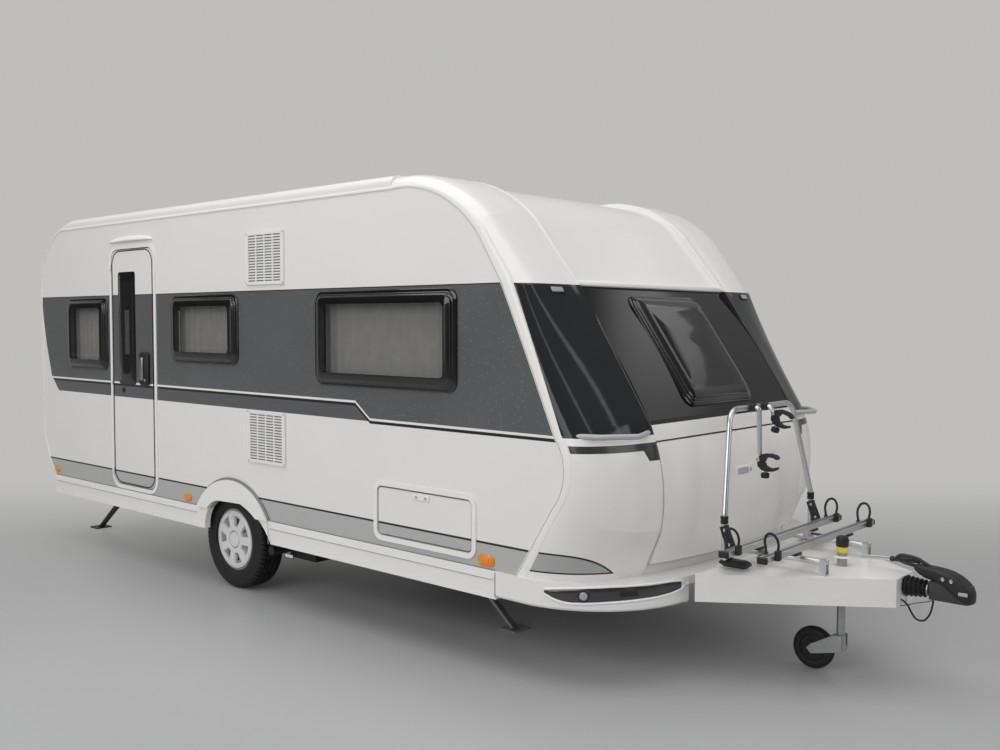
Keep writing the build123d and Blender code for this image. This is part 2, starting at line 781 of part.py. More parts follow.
door_pane_centre = (door_x + door_pane_forward, door_pane_foot + door_pane_height / 2)
with BuildPart() as door:
    with BuildSketch(side_plane(wall - half_width)):
        with Locations((door_x, door_centre_z)):
            RectangleRounded(door_width, door_height, door_corner)
        with Locations(door_pane_centre):
            RectangleRounded(door_pane_width - 2 * door_pane_corner, door_pane_height - 2 * door_pane_corner,
                             door_pane_corner, mode=Mode.SUBTRACT)
    extrude(amount=wall + door_proud)
save(door, "door")
door_pane_proud = 9
with BuildPart() as door_window:
    with BuildSketch(side_plane(-half_width - door_proud)):
        with Locations(door_pane_centre):
            RectangleRounded(door_pane_width, door_pane_height, door_pane_corner)
    extrude(amount=door_pane_proud)
    fillet(door_window.faces().sort_by(Axis.Y)[0].edges(), radius=door_pane_proud / 2)
save(door_window, "door_window")
handle_width = 74
handle_height = 225
handle_depth = 30
handle_from_edge = 20
handle_centre = 1400
with BuildPart() as door_handle:
    with BuildSketch(side_plane(-half_width - door_proud)):
        with Locations((door_x + door_width / 2 - handle_from_edge - handle_width / 2, handle_centre)):
            RectangleRounded(handle_width, handle_height, handle_width / 3)
    extrude(amount=handle_depth)
    fillet(door_handle.faces().sort_by(Axis.Y)[0].edges(), radius=handle_depth / 3)
save(door_handle, "door_handle")

with BuildPart() as service_flap:
    with BuildSketch(side_plane(wall - half_width)):
        with Locations((flap_x, flap_centre_z)):
            RectangleRounded(flap_width, flap_height, flap_corner)
    extrude(amount=wall)
save(service_flap, "service_flap")

# Step 8: ventilation grilles and roof lights
grille_width = 384
grille_height = 320
grille_depth = 12
grille_station_share = 0.5464
grille_height_shares = (0.4043, 0.8348)
slot_rows = 17
slot_columns = 4
slot_width = 74
slot_height = 8
slot_step_x = 84
slot_step_z = 17
with BuildPart() as grilles:
    with BuildSketch(side_plane(-half_width)):
        for share in grille_height_shares:
            with Locations(spot((grille_station_share, share))):
                Rectangle(grille_width, grille_height)
    extrude(amount=grille_depth)
    with BuildSketch(side_plane(-half_width - grille_depth / 2)):
        for share in grille_height_shares:
            with Locations(spot((grille_station_share, share))):
                with GridLocations(slot_step_x, slot_step_z, slot_columns, slot_rows):
                    Rectangle(slot_width, slot_height)
    extrude(amount=grille_depth, mode=Mode.SUBTRACT)
save(grilles, "grilles")

with BuildPart() as roof_lights:
    for share, length, width in roof_light_rows:
        with BuildSketch(Plane.XY.offset(up(roof_share))):
            with Locations((along(share), 0)):
                RectangleRounded(length, width, roof_light_edge * 2)
        extrude(amount=roof_light_rise)
    fillet(roof_lights.faces().filter_by(Axis.Z).group_by(Axis.Z)[-1].edges(), radius=roof_light_edge)
save(roof_lights, "roof_lights")

# Step 9: floor with the wheel boxes standing in it
floor_bottom = skirt_top - floor_thickness
floor_half = half_width - wall - fine_gap
floor_rear = along(shell_start_share[0]) + 2 * wall
with BuildPart() as floor_pan:
    block((floor_rear, bumper_points[0][0]), (-floor_half, floor_half), (floor_bottom, skirt_top))
    for side_name, side in sides:
        box_inner = side * (floor_half - box_depth)
        box_outer = side * floor_half
        span = (min(box_inner, box_outer), max(box_inner, box_outer))
        block((axle_x - box_half_length, axle_x + box_half_length), span, (floor_bottom, box_top))
        if side < 0:
            hollow_span = (span[0] - cut_over, span[1] - box_wall)
        else:
            hollow_span = (span[0] + box_wall, span[1] + cut_over)
        block((axle_x - box_half_length + box_wall, axle_x + box_half_length - box_wall), hollow_span,
              (floor_bottom - cut_over, box_top - box_wall), mode=Mode.SUBTRACT)
save(floor_pan, "floor_pan")

# Step 10: steel chassis with its drawbar, and the brackets for the steadies
rail_top = floor_bottom
rail_bottom = rail_top - rail_height
rail_rear_share = 0.052
rail_front_share = 0.80
cross_rows = [0.06, 0.30, 0.60, 0.785]
cross_width = 50
cross_height = 44
drawbar_bottom = drawbar_top - drawbar_height
drawbar_start_x = along(drawbar_start_share)
pin_radius = 7
pin_clearance = 0.05
steady_width = 40
ear = 6
ear_drop = 44
# Steadies: name, station of the pivot, distance from the middle, direction and reach of the foot, seat
steady_rise = 316
front_steady_share = 0.736618
rear_steady_share = 0.090039
rear_steady_out = 710
steady_reach_front = 382
steady_reach_rear = 420
steady_rows = [
    ("steady_front_right", front_steady_share, -rail_half_track, 1, steady_reach_front, rail_bottom),
    ("steady_front_left", front_steady_share, rail_half_track, 1, steady_reach_front, rail_bottom),
    ("steady_rear_right", rear_steady_share, -rear_steady_out, -1, steady_reach_rear, floor_bottom),
    ("steady_rear_left", rear_steady_share, rear_steady_out, -1, steady_reach_rear, floor_bottom),
]
with BuildPart() as chassis_frame:
    for side_name, side in sides:
        y = side * rail_half_track
        block((along(rail_rear_share), along(rail_front_share)), (y - rail_width / 2, y + rail_width / 2),
              (rail_bottom, rail_top))
        with BuildSketch(Plane.XY.offset(drawbar_bottom)):
            with BuildLine():
                Polyline((drawbar_start_x, y - rail_width / 2), (drawbar_start_x, y + rail_width / 2),
                         ((tip_x - drawbar_end_back), side * drawbar_end_half + rail_width / 2),
                         ((tip_x - drawbar_end_back), side * drawbar_end_half - rail_width / 2), close=True)
            make_face()
        extrude(amount=drawbar_height)
    for share in cross_rows:
        x = along(share)
        block((x - cross_width / 2, x + cross_width / 2), (-rail_half_track, rail_half_track),
              (rail_top - cross_height, rail_top))
    for name, share, out, facing, reach, seat in steady_rows:
        x = along(share)
        for ear_side in (-1, 1):
            ear_y = out + ear_side * (steady_width / 2 + fine_gap + ear / 2)
            block((x - steady_width / 2, x + steady_width / 2), (ear_y - ear / 2, ear_y + ear / 2),
                  (steady_rise - steady_width / 2, seat))
        ear_span = steady_width / 2 + fine_gap + ear
        bar((x, out - ear_span, steady_rise), (x, out + ear_span, steady_rise), pin_radius)
save(chassis_frame, "chassis_frame")

# Axle: cross tube ahead of the wheels, trailing arms, drums and stubs
axle_tube_x = axle_x + axle_tube_ahead
axle_tube_z = tyre_radius + axle_tube_rise
hub_face_y = tyre_outer_y - disc_inset
drum_face_y = hub_face_y - hub_length
arm_out_y = drum_face_y - drum_depth
axle_reach_y = arm_out_y - arm_thickness
with BuildPart() as axle:
    bar((axle_tube_x, -axle_reach_y, axle_tube_z), (axle_tube_x, axle_reach_y, axle_tube_z), axle_tube_radius)
    for side_name, side in sides:
        y_in = side * axle_reach_y
        arm_low = min(y_in, side * arm_out_y)
        block((axle_x - arm_depth / 2, axle_tube_x + arm_depth / 2), (arm_low, arm_low + arm_thickness),
              (tyre_radius - arm_depth / 2, tyre_radius + arm_depth / 2))
        bar((axle_x, side * arm_out_y, tyre_radius), (axle_x, side * drum_face_y, tyre_radius), drum_radius)
        bar((axle_x, side * drum_face_y, tyre_radius), (axle_x, side * (hub_face_y - fine_gap), tyre_radius), stub_radius)
        y = side * rail_half_track
        block((axle_tube_x - arm_depth / 2, axle_tube_x + arm_depth / 2), (y - rail_width / 2, y + rail_width / 2),
              (axle_tube_z, rail_bottom))
save(axle, "axle")

# Step 11: wheels
rim_half = 72
rim_out_y = tyre_outer_y - (tyre_width - 2 * rim_half) / 2
for side_name, side in sides:
    wheel_plane = Plane(origin=(axle_x, side * (tyre_outer_y - tyre_width), tyre_radius), x_dir=(1, 0, 0),
                        z_dir=(0, side, 0))
    lathe_plane = Plane(origin=(axle_x, side * (tyre_outer_y - tyre_width / 2), tyre_radius), x_dir=(0, side, 0),
                        z_dir=(1, 0, 0) if side < 0 else (-1, 0, 0))
    lathe_axis = Axis((axle_x, 0, tyre_radius), (0, 1, 0))
    with BuildPart() as tyre:
        with BuildSketch(wheel_plane):
            Circle(tyre_radius)
            Circle(rim_flange + fine_gap, mode=Mode.SUBTRACT)
        extrude(amount=tyre_width)
        fillet(tyre.edges().filter_by(GeomType.CIRCLE).group_by(SortBy.RADIUS)[-1], radius=tyre_shoulder)
    save(tyre, f"tyre_{side_name}")
    with BuildPart() as rim:
        with BuildSketch(wheel_plane.offset((tyre_width - 2 * rim_half) / 2)):
            Circle(rim_flange)
            Circle(rim_well, mode=Mode.SUBTRACT)
        extrude(amount=2 * rim_half)
        with BuildSketch(wheel_plane.offset(tyre_width - disc_inset - spoke_plate)):
            Circle(rim_well + fine_gap)
            with PolarLocations(hole_ring, hole_count):
                Circle(hole_radius, mode=Mode.SUBTRACT)
        extrude(amount=spoke_plate)
        with BuildSketch(wheel_plane.offset(tyre_width - disc_inset - hub_length + fine_gap)):
            Circle(hub_radius)
        extrude(amount=hub_length)
        with BuildSketch(wheel_plane.offset(-cut_over)):
            Circle(stub_radius + stub_clearance)
        extrude(amount=cut_over + tyre_width - disc_inset, mode=Mode.SUBTRACT)
    save(rim, f"rim_{side_name}")

# Step 12: manoeuvring drive ahead of the wheels
roller_radius = 30
roller_ahead = 384
roller_rise = 300
drive_length = 210
drive_height = 120
drive_inner_y = 640
drive_outer_y = 915
drive_ahead = 430
with BuildPart() as mover:
    bar((axle_x + drive_ahead + drive_length / 2, -drive_outer_y, roller_rise),
        (axle_x + drive_ahead + drive_length / 2, drive_outer_y, roller_rise), roller_radius * 0.7)
    for side_name, side in sides:
        low_y = min(side * drive_inner_y, side * drive_outer_y)
        high_y = max(side * drive_inner_y, side * drive_outer_y)
        block((axle_x + roller_ahead, axle_x + drive_ahead + drive_length), (low_y, high_y),
              (roller_rise - drive_height / 2, roller_rise + drive_height / 2))
        bar((axle_x + roller_ahead, side * drive_outer_y, roller_rise),
            (axle_x + roller_ahead, side * (tyre_outer_y - tyre_shoulder), roller_rise), roller_radius)
        y = side * rail_half_track
        block((axle_x + drive_ahead, axle_x + drive_ahead + drive_length),
              (y - rail_width / 2, y + rail_width / 2), (roller_rise, rail_bottom))
        reach_low = min(side * drive_inner_y, y)
        reach_high = max(side * drive_inner_y, y)
        block((axle_x + drive_ahead, axle_x + drive_ahead + drive_length), (reach_low, reach_high),
              (roller_rise, roller_rise + roller_radius))
save(mover, "mover")

# Step 13: corner steadies, down on the floor
foot_length = 120
foot_width = 130
foot_plate = 9
for name, share, out, facing, reach, seat in steady_rows:
    x = along(share)
    foot_x = x + facing * reach
    with BuildPart() as steady:
        with BuildSketch(side_plane(out + steady_width / 2)):
            with BuildLine():
                leg_run = math.hypot(reach, steady_rise - foot_plate)
                side_x = (steady_rise - foot_plate) / leg_run * steady_width / 2 * 0.7
                side_z = reach / leg_run * steady_width / 2 * 0.7
                Polyline((x + facing * side_x, steady_rise + side_z), (x - facing * side_x, steady_rise - side_z),
                         (foot_x - facing * side_x * 2, foot_plate / 2), (foot_x + facing * side_x, foot_plate / 2),
                         close=True)
            make_face()
            with Locations((x, steady_rise)):
                Circle(steady_width / 2)
                Circle(pin_radius + pin_clearance, mode=Mode.SUBTRACT)
        extrude(amount=steady_width)
        block((foot_x - foot_length / 2, foot_x + foot_length / 2), (out - foot_width / 2, out + foot_width / 2),
              (0, foot_plate))
    save(steady, name)

# Step 14: drawbar cover, coupling and its small parts
cover_rear_x = along(1.022)
cover_front_back = 316
cover_front_x = tip_x - cover_front_back
cover_rear_half = 640
cover_front_half = 104
cover_bottom = 408
cover_top = 540
cover_skin = 9
hump_rear_back = 822
hump_height = 40
jockey_back = 622
jockey_x = tip_x - jockey_back
jockey_sleeve = 24
jockey_tube_radius = 20
jockey_sleeve_bottom = 340
jockey_sleeve_top = 660


def cover_half(x):
    """Half width of the cover at a station."""
    return cover_rear_half + (cover_front_half - cover_rear_half) * (x - cover_rear_x) / (cover_front_x - cover_rear_x)


def cover_plan(low_x, high_x, inset):
    """Tapered plan of the cover between two stations."""
    with BuildLine() as plan:
        Polyline((low_x, cover_half(low_x) - inset), (high_x, cover_half(high_x) - inset),
                 (high_x, inset - cover_half(high_x)), (low_x, inset - cover_half(low_x)), close=True)
    make_face(plan.line.edges())


hump_x = tip_x - hump_rear_back
coupling_z = 496
housing_radius = 33
with BuildPart() as drawbar_cover:
    with BuildSketch(Plane.XY.offset(cover_bottom)):
        cover_plan(cover_rear_x, cover_front_x, 0)
    extrude(amount=cover_top - cover_bottom)
    with BuildSketch(Plane.XY.offset(cover_top)):
        cover_plan(hump_x, cover_front_x - cover_skin, cover_skin * 4)
    extrude(amount=hump_height, taper=12)
    with BuildSketch(Plane.XY.offset(cover_bottom - cut_over)):
        cover_plan(cover_rear_x - cut_over, cover_front_x - cover_skin, cover_skin)
    extrude(amount=cover_top - cover_bottom + cut_over - cover_skin, mode=Mode.SUBTRACT)
    with BuildSketch(Plane.XY.offset(cover_top - 2 * cover_skin)):
        cover_plan(hump_x + cover_skin, cover_front_x - 2 * cover_skin, cover_skin * 5)
    extrude(amount=hump_height + cover_skin, taper=12, mode=Mode.SUBTRACT)
    block((cover_front_x - 3 * cover_skin, cover_front_x + cut_over),
          (-housing_radius - fine_gap, housing_radius + fine_gap), (0, coupling_z + housing_radius + fine_gap),
          mode=Mode.SUBTRACT)
    with Locations((jockey_x, 0, cover_top)):
        Cylinder(jockey_sleeve + fine_gap, hump_height * 8, mode=Mode.SUBTRACT)
save(drawbar_cover, "drawbar_cover")

housing_rear_back = 554
housing_front_back = 314
shaft_radius = 25
head_rear_back = 192
ball_radius = 25
ball_clearance = 0.3
head_width = 78
head_length = 176
head_bottom = 458
head_height = 84
with BuildPart() as coupling:
    bar((tip_x - housing_rear_back, 0, coupling_z), (tip_x - housing_front_back, 0, coupling_z), housing_radius)
    block((tip_x - housing_rear_back, (tip_x - drawbar_end_back)), (-housing_radius, housing_radius), (drawbar_top, coupling_z))
    bar((tip_x - housing_front_back - wall, 0, coupling_z), (tip_x - head_rear_back + wall, 0, coupling_z), shaft_radius)
    block((tip_x - head_rear_back, tip_x - head_rear_back + head_length), (-head_width / 2, head_width / 2),
          (head_bottom, head_bottom + head_height))
    fillet(coupling.edges().filter_by(Axis.Z).group_by(Axis.X)[-1], radius=head_width / 3)
    socket_x = tip_x - head_rear_back + head_length * 0.66
    with Locations((socket_x, 0, head_bottom + ball_radius / 2)):
        Cylinder(ball_radius + ball_clearance, ball_radius * 2, mode=Mode.SUBTRACT)
save(coupling, "coupling")

stabiliser_top = 590
stabiliser_wall = 12
with BuildPart() as stabiliser:
    with BuildSketch(side_plane(head_width / 2 + stabiliser_wall + fine_gap)):
        with BuildLine():
            Polyline((tip_x - head_rear_back - 3 * cut_over, head_bottom + head_height + fine_gap),
                     (tip_x - head_rear_back - 4 * cut_over, head_bottom + head_height + 2 * wall),
                     (tip_x - head_rear_back + head_length * 0.5, stabiliser_top),
                     (half_length, head_bottom + head_height * 0.8), (half_length, head_bottom + fine_gap),
                     (half_length - 2 * stabiliser_wall, head_bottom + fine_gap),
                     (tip_x - head_rear_back + head_length * 0.5, head_bottom + head_height * 0.6),
                     (tip_x - head_rear_back, head_bottom + head_height + fine_gap), close=True)
        make_face()
    extrude(amount=head_width + 2 * stabiliser_wall + 2 * fine_gap)
    block((tip_x - head_rear_back - fine_gap, tip_x - head_rear_back + head_length + fine_gap),
          (-head_width / 2 - fine_gap, head_width / 2 + fine_gap), (0, head_bottom + head_height + fine_gap),
          mode=Mode.SUBTRACT)
    bar((tip_x - head_rear_back - head_length, 0, coupling_z), (tip_x - head_rear_back, 0, coupling_z),
        shaft_radius + fine_gap, mode=Mode.SUBTRACT)
save(stabiliser, "stabiliser")

bellows_rings = 3
bellows_step = 24
bellows_radius = 38
with BuildPart() as bellows:
    for index in range(bellows_rings):
        ring_x = tip_x - housing_front_back + fine_gap + index * bellows_step + cover_skin * 2
        bar((ring_x, 0, coupling_z), (ring_x + bellows_step / 2, 0, coupling_z), bellows_radius)
    bar((tip_x - housing_front_back + fine_gap, 0, coupling_z),
        (tip_x - housing_front_back + bellows_rings * bellows_step + cover_skin, 0, coupling_z),
        bellows_radius - bellows_step / 2)
    bar((tip_x - housing_rear_back, 0, coupling_z), (tip_x - head_rear_back, 0, coupling_z),
        shaft_radius + fine_gap, mode=Mode.SUBTRACT)
save(bellows, "bellows")

lever_y = 62
lever_radius = 11
lever_length = 290
lever_rise = 18
with BuildPart() as brake_lever:
    lever_z = cover_top + hump_height + lever_radius + fine_gap
    bar((tip_x - housing_rear_back, lever_y, lever_z),
        (tip_x - housing_rear_back + lever_length, lever_y, lever_z + lever_rise), lever_radius)
save(brake_lever, "brake_lever")

# Step 15: jockey wheel
clamp_half = 110
clamp_length = 74
clamp_plate = 10
stem_bottom = 140
stem_top = 500
jockey_radius = 105
jockey_half_width = 29
jockey_trail = 136
fork_side = 5
fork_gap = 5
fork_head_top = 196
fork_head_bottom = 118
fork_axle_radius = 8
with BuildPart() as jockey_sleeve_tube:
    bar((jockey_x, 0, jockey_sleeve_bottom), (jockey_x, 0, jockey_sleeve_top), jockey_sleeve)
    block((jockey_x - clamp_length / 2, jockey_x + clamp_length / 2), (-clamp_half, clamp_half),
          (drawbar_bottom - clamp_plate, drawbar_bottom))
    bar((jockey_x, 0, jockey_sleeve_bottom - cut_over), (jockey_x, 0, jockey_sleeve_top - clamp_plate),
        jockey_tube_radius + fine_gap, mode=Mode.SUBTRACT)
save(jockey_sleeve_tube, "jockey_sleeve")
with BuildPart() as jockey_stem:
    bar((jockey_x, 0, stem_bottom), (jockey_x, 0, stem_top), jockey_tube_radius)
save(jockey_stem, "jockey_stem")
wheel_x = jockey_x - jockey_trail
with BuildPart() as jockey_fork:
    bar((jockey_x, 0, fork_head_bottom), (jockey_x, 0, fork_head_top), jockey_tube_radius + fork_side + fine_gap)
    for fork_y in (-1, 1):
        low_y = min(fork_y * (jockey_half_width + fork_gap), fork_y * (jockey_half_width + fork_gap + fork_side))
        with BuildSketch(side_plane(low_y + fork_side)):
            with BuildLine():
                Polyline((wheel_x - fork_head_top / 8, jockey_radius), (wheel_x, jockey_radius - fork_head_top / 8),
                         (jockey_x + jockey_tube_radius, fork_head_bottom),
                         (jockey_x + jockey_tube_radius, fork_head_top),
                         (jockey_x - jockey_tube_radius, fork_head_top), (wheel_x, jockey_radius + fork_head_top / 8),
                         close=True)
            make_face()
        extrude(amount=fork_side)
    block((jockey_x - jockey_tube_radius, jockey_x + jockey_tube_radius),
          (-jockey_half_width - fork_gap, jockey_half_width + fork_gap), (fork_head_bottom, stem_bottom - fine_gap))
    fork_reach = jockey_half_width + fork_gap + fork_side
    bar((wheel_x, -fork_reach, jockey_radius), (wheel_x, fork_reach, jockey_radius), fork_axle_radius)
    bar((jockey_x, 0, stem_bottom - fine_gap), (jockey_x, 0, fork_head_top + cut_over), jockey_tube_radius + fine_gap,
        mode=Mode.SUBTRACT)
save(jockey_fork, "jockey_fork")
with BuildPart() as jockey_wheel:
    bar((wheel_x, -jockey_half_width, jockey_radius), (wheel_x, jockey_half_width, jockey_radius), jockey_radius)
    fillet(jockey_wheel.edges().filter_by(GeomType.CIRCLE), radius=jockey_half_width / 2)
    bar((wheel_x, -cut_over - jockey_half_width, jockey_radius), (wheel_x, cut_over + jockey_half_width, jockey_radius),
        fork_axle_radius + pin_clearance, mode=Mode.SUBTRACT)
save(jockey_wheel, "jockey_wheel")

# Step 16: bicycle carrier on the drawbar, which tilts forward
carrier_pivot_back = 602
carrier_z = 600
carrier_y = 250
carrier_tube = 15
carrier_rear_back = 1007
carrier_post_back = 922
rail_rows = [(922, 620), (732, 610)]
rail_seat = 24
carrier_rail_width = 46
carrier_rail_height = 26
hoop_half = 470
hoop_top_half = 330
hoop_tube = 14
hoop_top = 1300
hoop_lean_back = 1062
hoop_knee = 800
hoop_bend = 90
pivot_x = tip_x - carrier_pivot_back
with BuildPart() as carrier_posts:
    for side_name, side in sides:
        y = side * carrier_y
        for ear_side in (-1, 1):
            ear_y = y + ear_side * (carrier_tube + fine_gap + ear / 2)
            block((pivot_x - carrier_tube, pivot_x + carrier_tube), (ear_y - ear / 2, ear_y + ear / 2),
                  (cover_top + ear, carrier_z + carrier_tube))
        block((pivot_x - carrier_tube, pivot_x + carrier_tube),
              (y - carrier_tube - ear - fine_gap, y + carrier_tube + ear + fine_gap), (cover_top, cover_top + ear))
        bar((pivot_x, y - carrier_tube - ear, carrier_z), (pivot_x, y + carrier_tube + ear, carrier_z), pin_radius)
        post_x = tip_x - carrier_post_back
        block((post_x - carrier_tube, post_x + carrier_tube), (y - carrier_tube, y + carrier_tube),
              (cover_top, carrier_z - carrier_tube - fine_gap))
save(carrier_posts, "carrier_posts")
with BuildPart() as carrier_base:
    rear_x_carrier = tip_x - carrier_rear_back
    for side_name, side in sides:
        y = side * carrier_y
        bar((rear_x_carrier, y, carrier_z), (pivot_x - carrier_tube / 2, y, carrier_z), carrier_tube)
        bar((pivot_x, y - carrier_tube, carrier_z), (pivot_x, y + carrier_tube, carrier_z), carrier_tube)
        bar((pivot_x, y - 2 * carrier_tube, carrier_z), (pivot_x, y + 2 * carrier_tube, carrier_z),
            pin_radius + pin_clearance, mode=Mode.SUBTRACT)
    bar((rear_x_carrier, -hoop_half, carrier_z), (rear_x_carrier, hoop_half, carrier_z), carrier_tube)
    for back, half in rail_rows:
        x = tip_x - back
        for side_name, side in sides:
            y = side * carrier_y
            block((x - carrier_tube, x + carrier_tube), (y - carrier_tube, y + carrier_tube),
                  (carrier_z, carrier_z + carrier_tube + rail_seat))
save(carrier_base, "carrier_base")
rail_low = carrier_z + carrier_tube + rail_seat
with BuildPart() as carrier_rails:
    for back, half in rail_rows:
        x = tip_x - back
        block((x - carrier_rail_width / 2, x + carrier_rail_width / 2), (-half, half),
              (rail_low, rail_low + carrier_rail_height))
        block((x - carrier_rail_width / 4, x + carrier_rail_width / 4), (-half - cut_over, half + cut_over),
              (rail_low + carrier_rail_height / 2, rail_low + carrier_rail_height * 2), mode=Mode.SUBTRACT)
save(carrier_rails, "carrier_rails")
with BuildPart() as carrier_hoop:
    lean_x = tip_x - hoop_lean_back
    tube_run([(rear_x_carrier, -hoop_half, carrier_z + carrier_tube), (rear_x_carrier, -hoop_half, hoop_knee),
              (lean_x, -hoop_top_half, hoop_top), (lean_x, hoop_top_half, hoop_top),
              (rear_x_carrier, hoop_half, hoop_knee), (rear_x_carrier, hoop_half, carrier_z + carrier_tube)],
             hoop_tube, hoop_bend)
save(carrier_hoop, "carrier_hoop")
claw_radius = 34
claw_inner = 23
claw_width = 30
arm_tube = 11
long_arm = [(1062, -90, 1300), (1000, -90, 1300), (1000, -80, 1080)]
short_arm = [(1062, 60, 1300), (1007, 60, 1300), (982, 50, 1250)]
with BuildPart() as carrier_arms:
    for points in (long_arm, short_arm):
        route = [(tip_x - back, y, z) for back, y, z in points]
        route[0] = (route[0][0] + hoop_tube + fine_gap, route[0][1], route[0][2])
        tube_run(route, arm_tube, arm_tube * 2)
        end = route[-1]
        with BuildSketch(Plane(origin=(end[0] + claw_radius, end[1], end[2] - claw_radius / 2), x_dir=(1, 0, 0),
                               z_dir=(0, -1, 0))):
            Circle(claw_radius)
            Circle(claw_inner, mode=Mode.SUBTRACT)
            with Locations((claw_radius, 0)):
                Rectangle(claw_radius, claw_inner, mode=Mode.SUBTRACT)
        extrude(amount=claw_width / 2, both=True)
save(carrier_arms, "carrier_arms")

# Step 17: grab handles at the four corners
grab_tube = 13
grab_z = 1205
grab_rear_z = 1150
front_grab_shares = [(0.9530, 0.976), (0.9790, 0.930), (0.9985, 0.800), (0.9860, 0.640)]
rear_grab_shares = [(0.012, 0.720), (-0.0047, 0.745), (-0.0047, 0.860), (0.012, 0.885)]
with BuildPart() as grab_handles:
    for side_name, side in sides:
        tube_run([(along(a), side * b * half_width, grab_z) for a, b in front_grab_shares], grab_tube, grab_tube * 2)
        tube_run([(along(a), side * b * half_width, grab_rear_z) for a, b in rear_grab_shares], grab_tube, grab_tube * 2)
    add(skin.part, mode=Mode.SUBTRACT)
    add(corner_shell.part, mode=Mode.SUBTRACT)
    add(corner_shell.part.mirror(Plane.XZ), mode=Mode.SUBTRACT)
save(grab_handles, "grab_handles")

# Step 18: the tow lead's loop and the breakaway wire, each straight runs joined by arcs
bend_share = 0.45
lead_radius = 4.5
wire_radius = 2
# Points of each route: back from the coupling's tip, sideways, height
lead_route = [(313, -45, 436), (288, -46, 425), (269, -48, 390), (246, -48, 356), (210, -46, 352),
              (185, -42, 384), (176, -34, 424), (174, -28, 454)]
wire_route = [(588, 60, 394), (572, 61, 374), (530, 58, 362), (474, 53, 358), (416, 47, 364),
              (360, 40, 378), (304, 34, 398), (248, 28, 420), (200, 22, 434), (174, 18, 455.5)]


def cord_tube(route, radius):
    """Tube along a cord's route, each arc as large as its two runs allow."""
    points = [Vector(tip_x - back, y, z) for back, y, z in route]
    radii = []
    for before, here, after in zip(points, points[1:], points[2:]):
        turn = math.radians((here - before).get_angle(after - here))
        shorter = min((here - before).length, (after - here).length)
        radii.append(bend_share * shorter / math.tan(turn / 2))
    print("cord radii", [round(value) for value in radii])
    with BuildLine() as run:
        FilletPolyline(*points, radius=radii)
    with BuildSketch(Plane(origin=run.line @ 0, z_dir=run.line % 0)) as section:
        Circle(radius)
    sweep(sections=section.sketch, path=run.line)
    length = sum(edge.length for edge in run.line.edges())
    print("cord length", round(length), "section times length", round(length * math.pi * radius * radius))


with BuildPart() as tow_lead:
    cord_tube(lead_route, lead_radius)
save(tow_lead, "tow_lead")
print("tow lead volume", round(tow_lead.part.volume))
with BuildPart() as breakaway_wire:
    cord_tube(wire_route, wire_radius)
save(breakaway_wire, "breakaway_wire")
print("breakaway wire volume", round(breakaway_wire.part.volume))
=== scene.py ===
# %% [markdown]
# # A travel caravan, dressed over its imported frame
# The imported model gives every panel, hinge and wheel in one shared frame, in metres.
# This lesson adds what a plain solid doesn't have: paint, foil stripes, domed panes,
# trim, lamps, tyre tread and the small fittings of the drawbar and the bicycle carrier.
# Each new piece rides on a body of the frame, so that doors and wheels keep moving.

# %% Load the frame
import math
import random

import bmesh
import bpy
from mathutils import Matrix, Vector


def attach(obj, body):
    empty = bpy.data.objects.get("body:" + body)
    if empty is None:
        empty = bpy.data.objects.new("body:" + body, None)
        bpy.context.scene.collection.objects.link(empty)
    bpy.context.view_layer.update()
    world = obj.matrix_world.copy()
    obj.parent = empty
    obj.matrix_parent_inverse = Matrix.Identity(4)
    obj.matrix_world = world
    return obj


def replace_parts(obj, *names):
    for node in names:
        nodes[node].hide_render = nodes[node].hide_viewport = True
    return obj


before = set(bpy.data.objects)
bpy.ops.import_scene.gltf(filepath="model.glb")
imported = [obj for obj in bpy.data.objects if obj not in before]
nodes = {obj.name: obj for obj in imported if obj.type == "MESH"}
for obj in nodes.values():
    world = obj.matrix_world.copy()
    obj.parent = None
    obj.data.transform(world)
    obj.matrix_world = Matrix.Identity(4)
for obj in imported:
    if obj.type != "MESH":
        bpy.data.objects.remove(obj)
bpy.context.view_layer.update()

# %% [markdown]
# ## The sizes that the pieces share
# The body is measured as shares of its length and its roof's height, as the solids are.
# Points taken near the wheels are easier to say from the axle, so both ways have a helper.
# +X is forward, -Y is the side with the door, and +Z is up.

# %% Shared sizes
REAR, LENGTH, ROOF = -3.395, 5.642, 2.530
AXLE = -0.787
HALF = 1.150
SKIRT_TOP = 0.514
RIGHT, LEFT = -1, 1
SIDES = {"right": RIGHT, "left": LEFT}
UP, DOOR_OUT = (0, 0, 1), (0, -1, 0)


def along(share):
    return REAR + share * LENGTH


def from_axle(x):
    return AXLE + x


def spot(pair):
    """A point of the side view, from shares of the length and of the height."""
    return Vector((along(pair[0]), pair[1] * ROOF))


print("body from", along(0), "to", along(1))

# %% [markdown]
# ## The camera
# The photograph was taken from near the front right corner, at about the eye height of a
# standing person, with a normal lens. The camera was solved from straight edges of the
# body, and its three axes are worked out here and written as one rotation matrix.

# %% Camera
VIEW_TURN, VIEW_DOWN, VIEW_ROLL = 41.828, 2.945, 0.12
VIEW_PLACE = (4.861, -4.807, 1.7256)
FILM_WIDTH, FOCAL_LENGTH, VIEW_REACH = 36.0, 36.705, 200
turn, down, roll = (math.radians(a) for a in (VIEW_TURN, VIEW_DOWN, VIEW_ROLL))
ahead = Vector((-math.sin(turn) * math.cos(down), math.cos(turn) * math.cos(down), -math.sin(down)))
across = Vector((math.cos(turn), math.sin(turn), 0))
upward = across.cross(ahead)
across, upward = (across * math.cos(roll) + upward * math.sin(roll),
                  upward * math.cos(roll) - across * math.sin(roll))
camera = bpy.data.objects.new("camera", bpy.data.cameras.new("camera"))
bpy.context.scene.collection.objects.link(camera)
camera.data.sensor_width, camera.data.lens = FILM_WIDTH, FOCAL_LENGTH
camera.data.clip_end = VIEW_REACH
camera.rotation_mode = "QUATERNION"
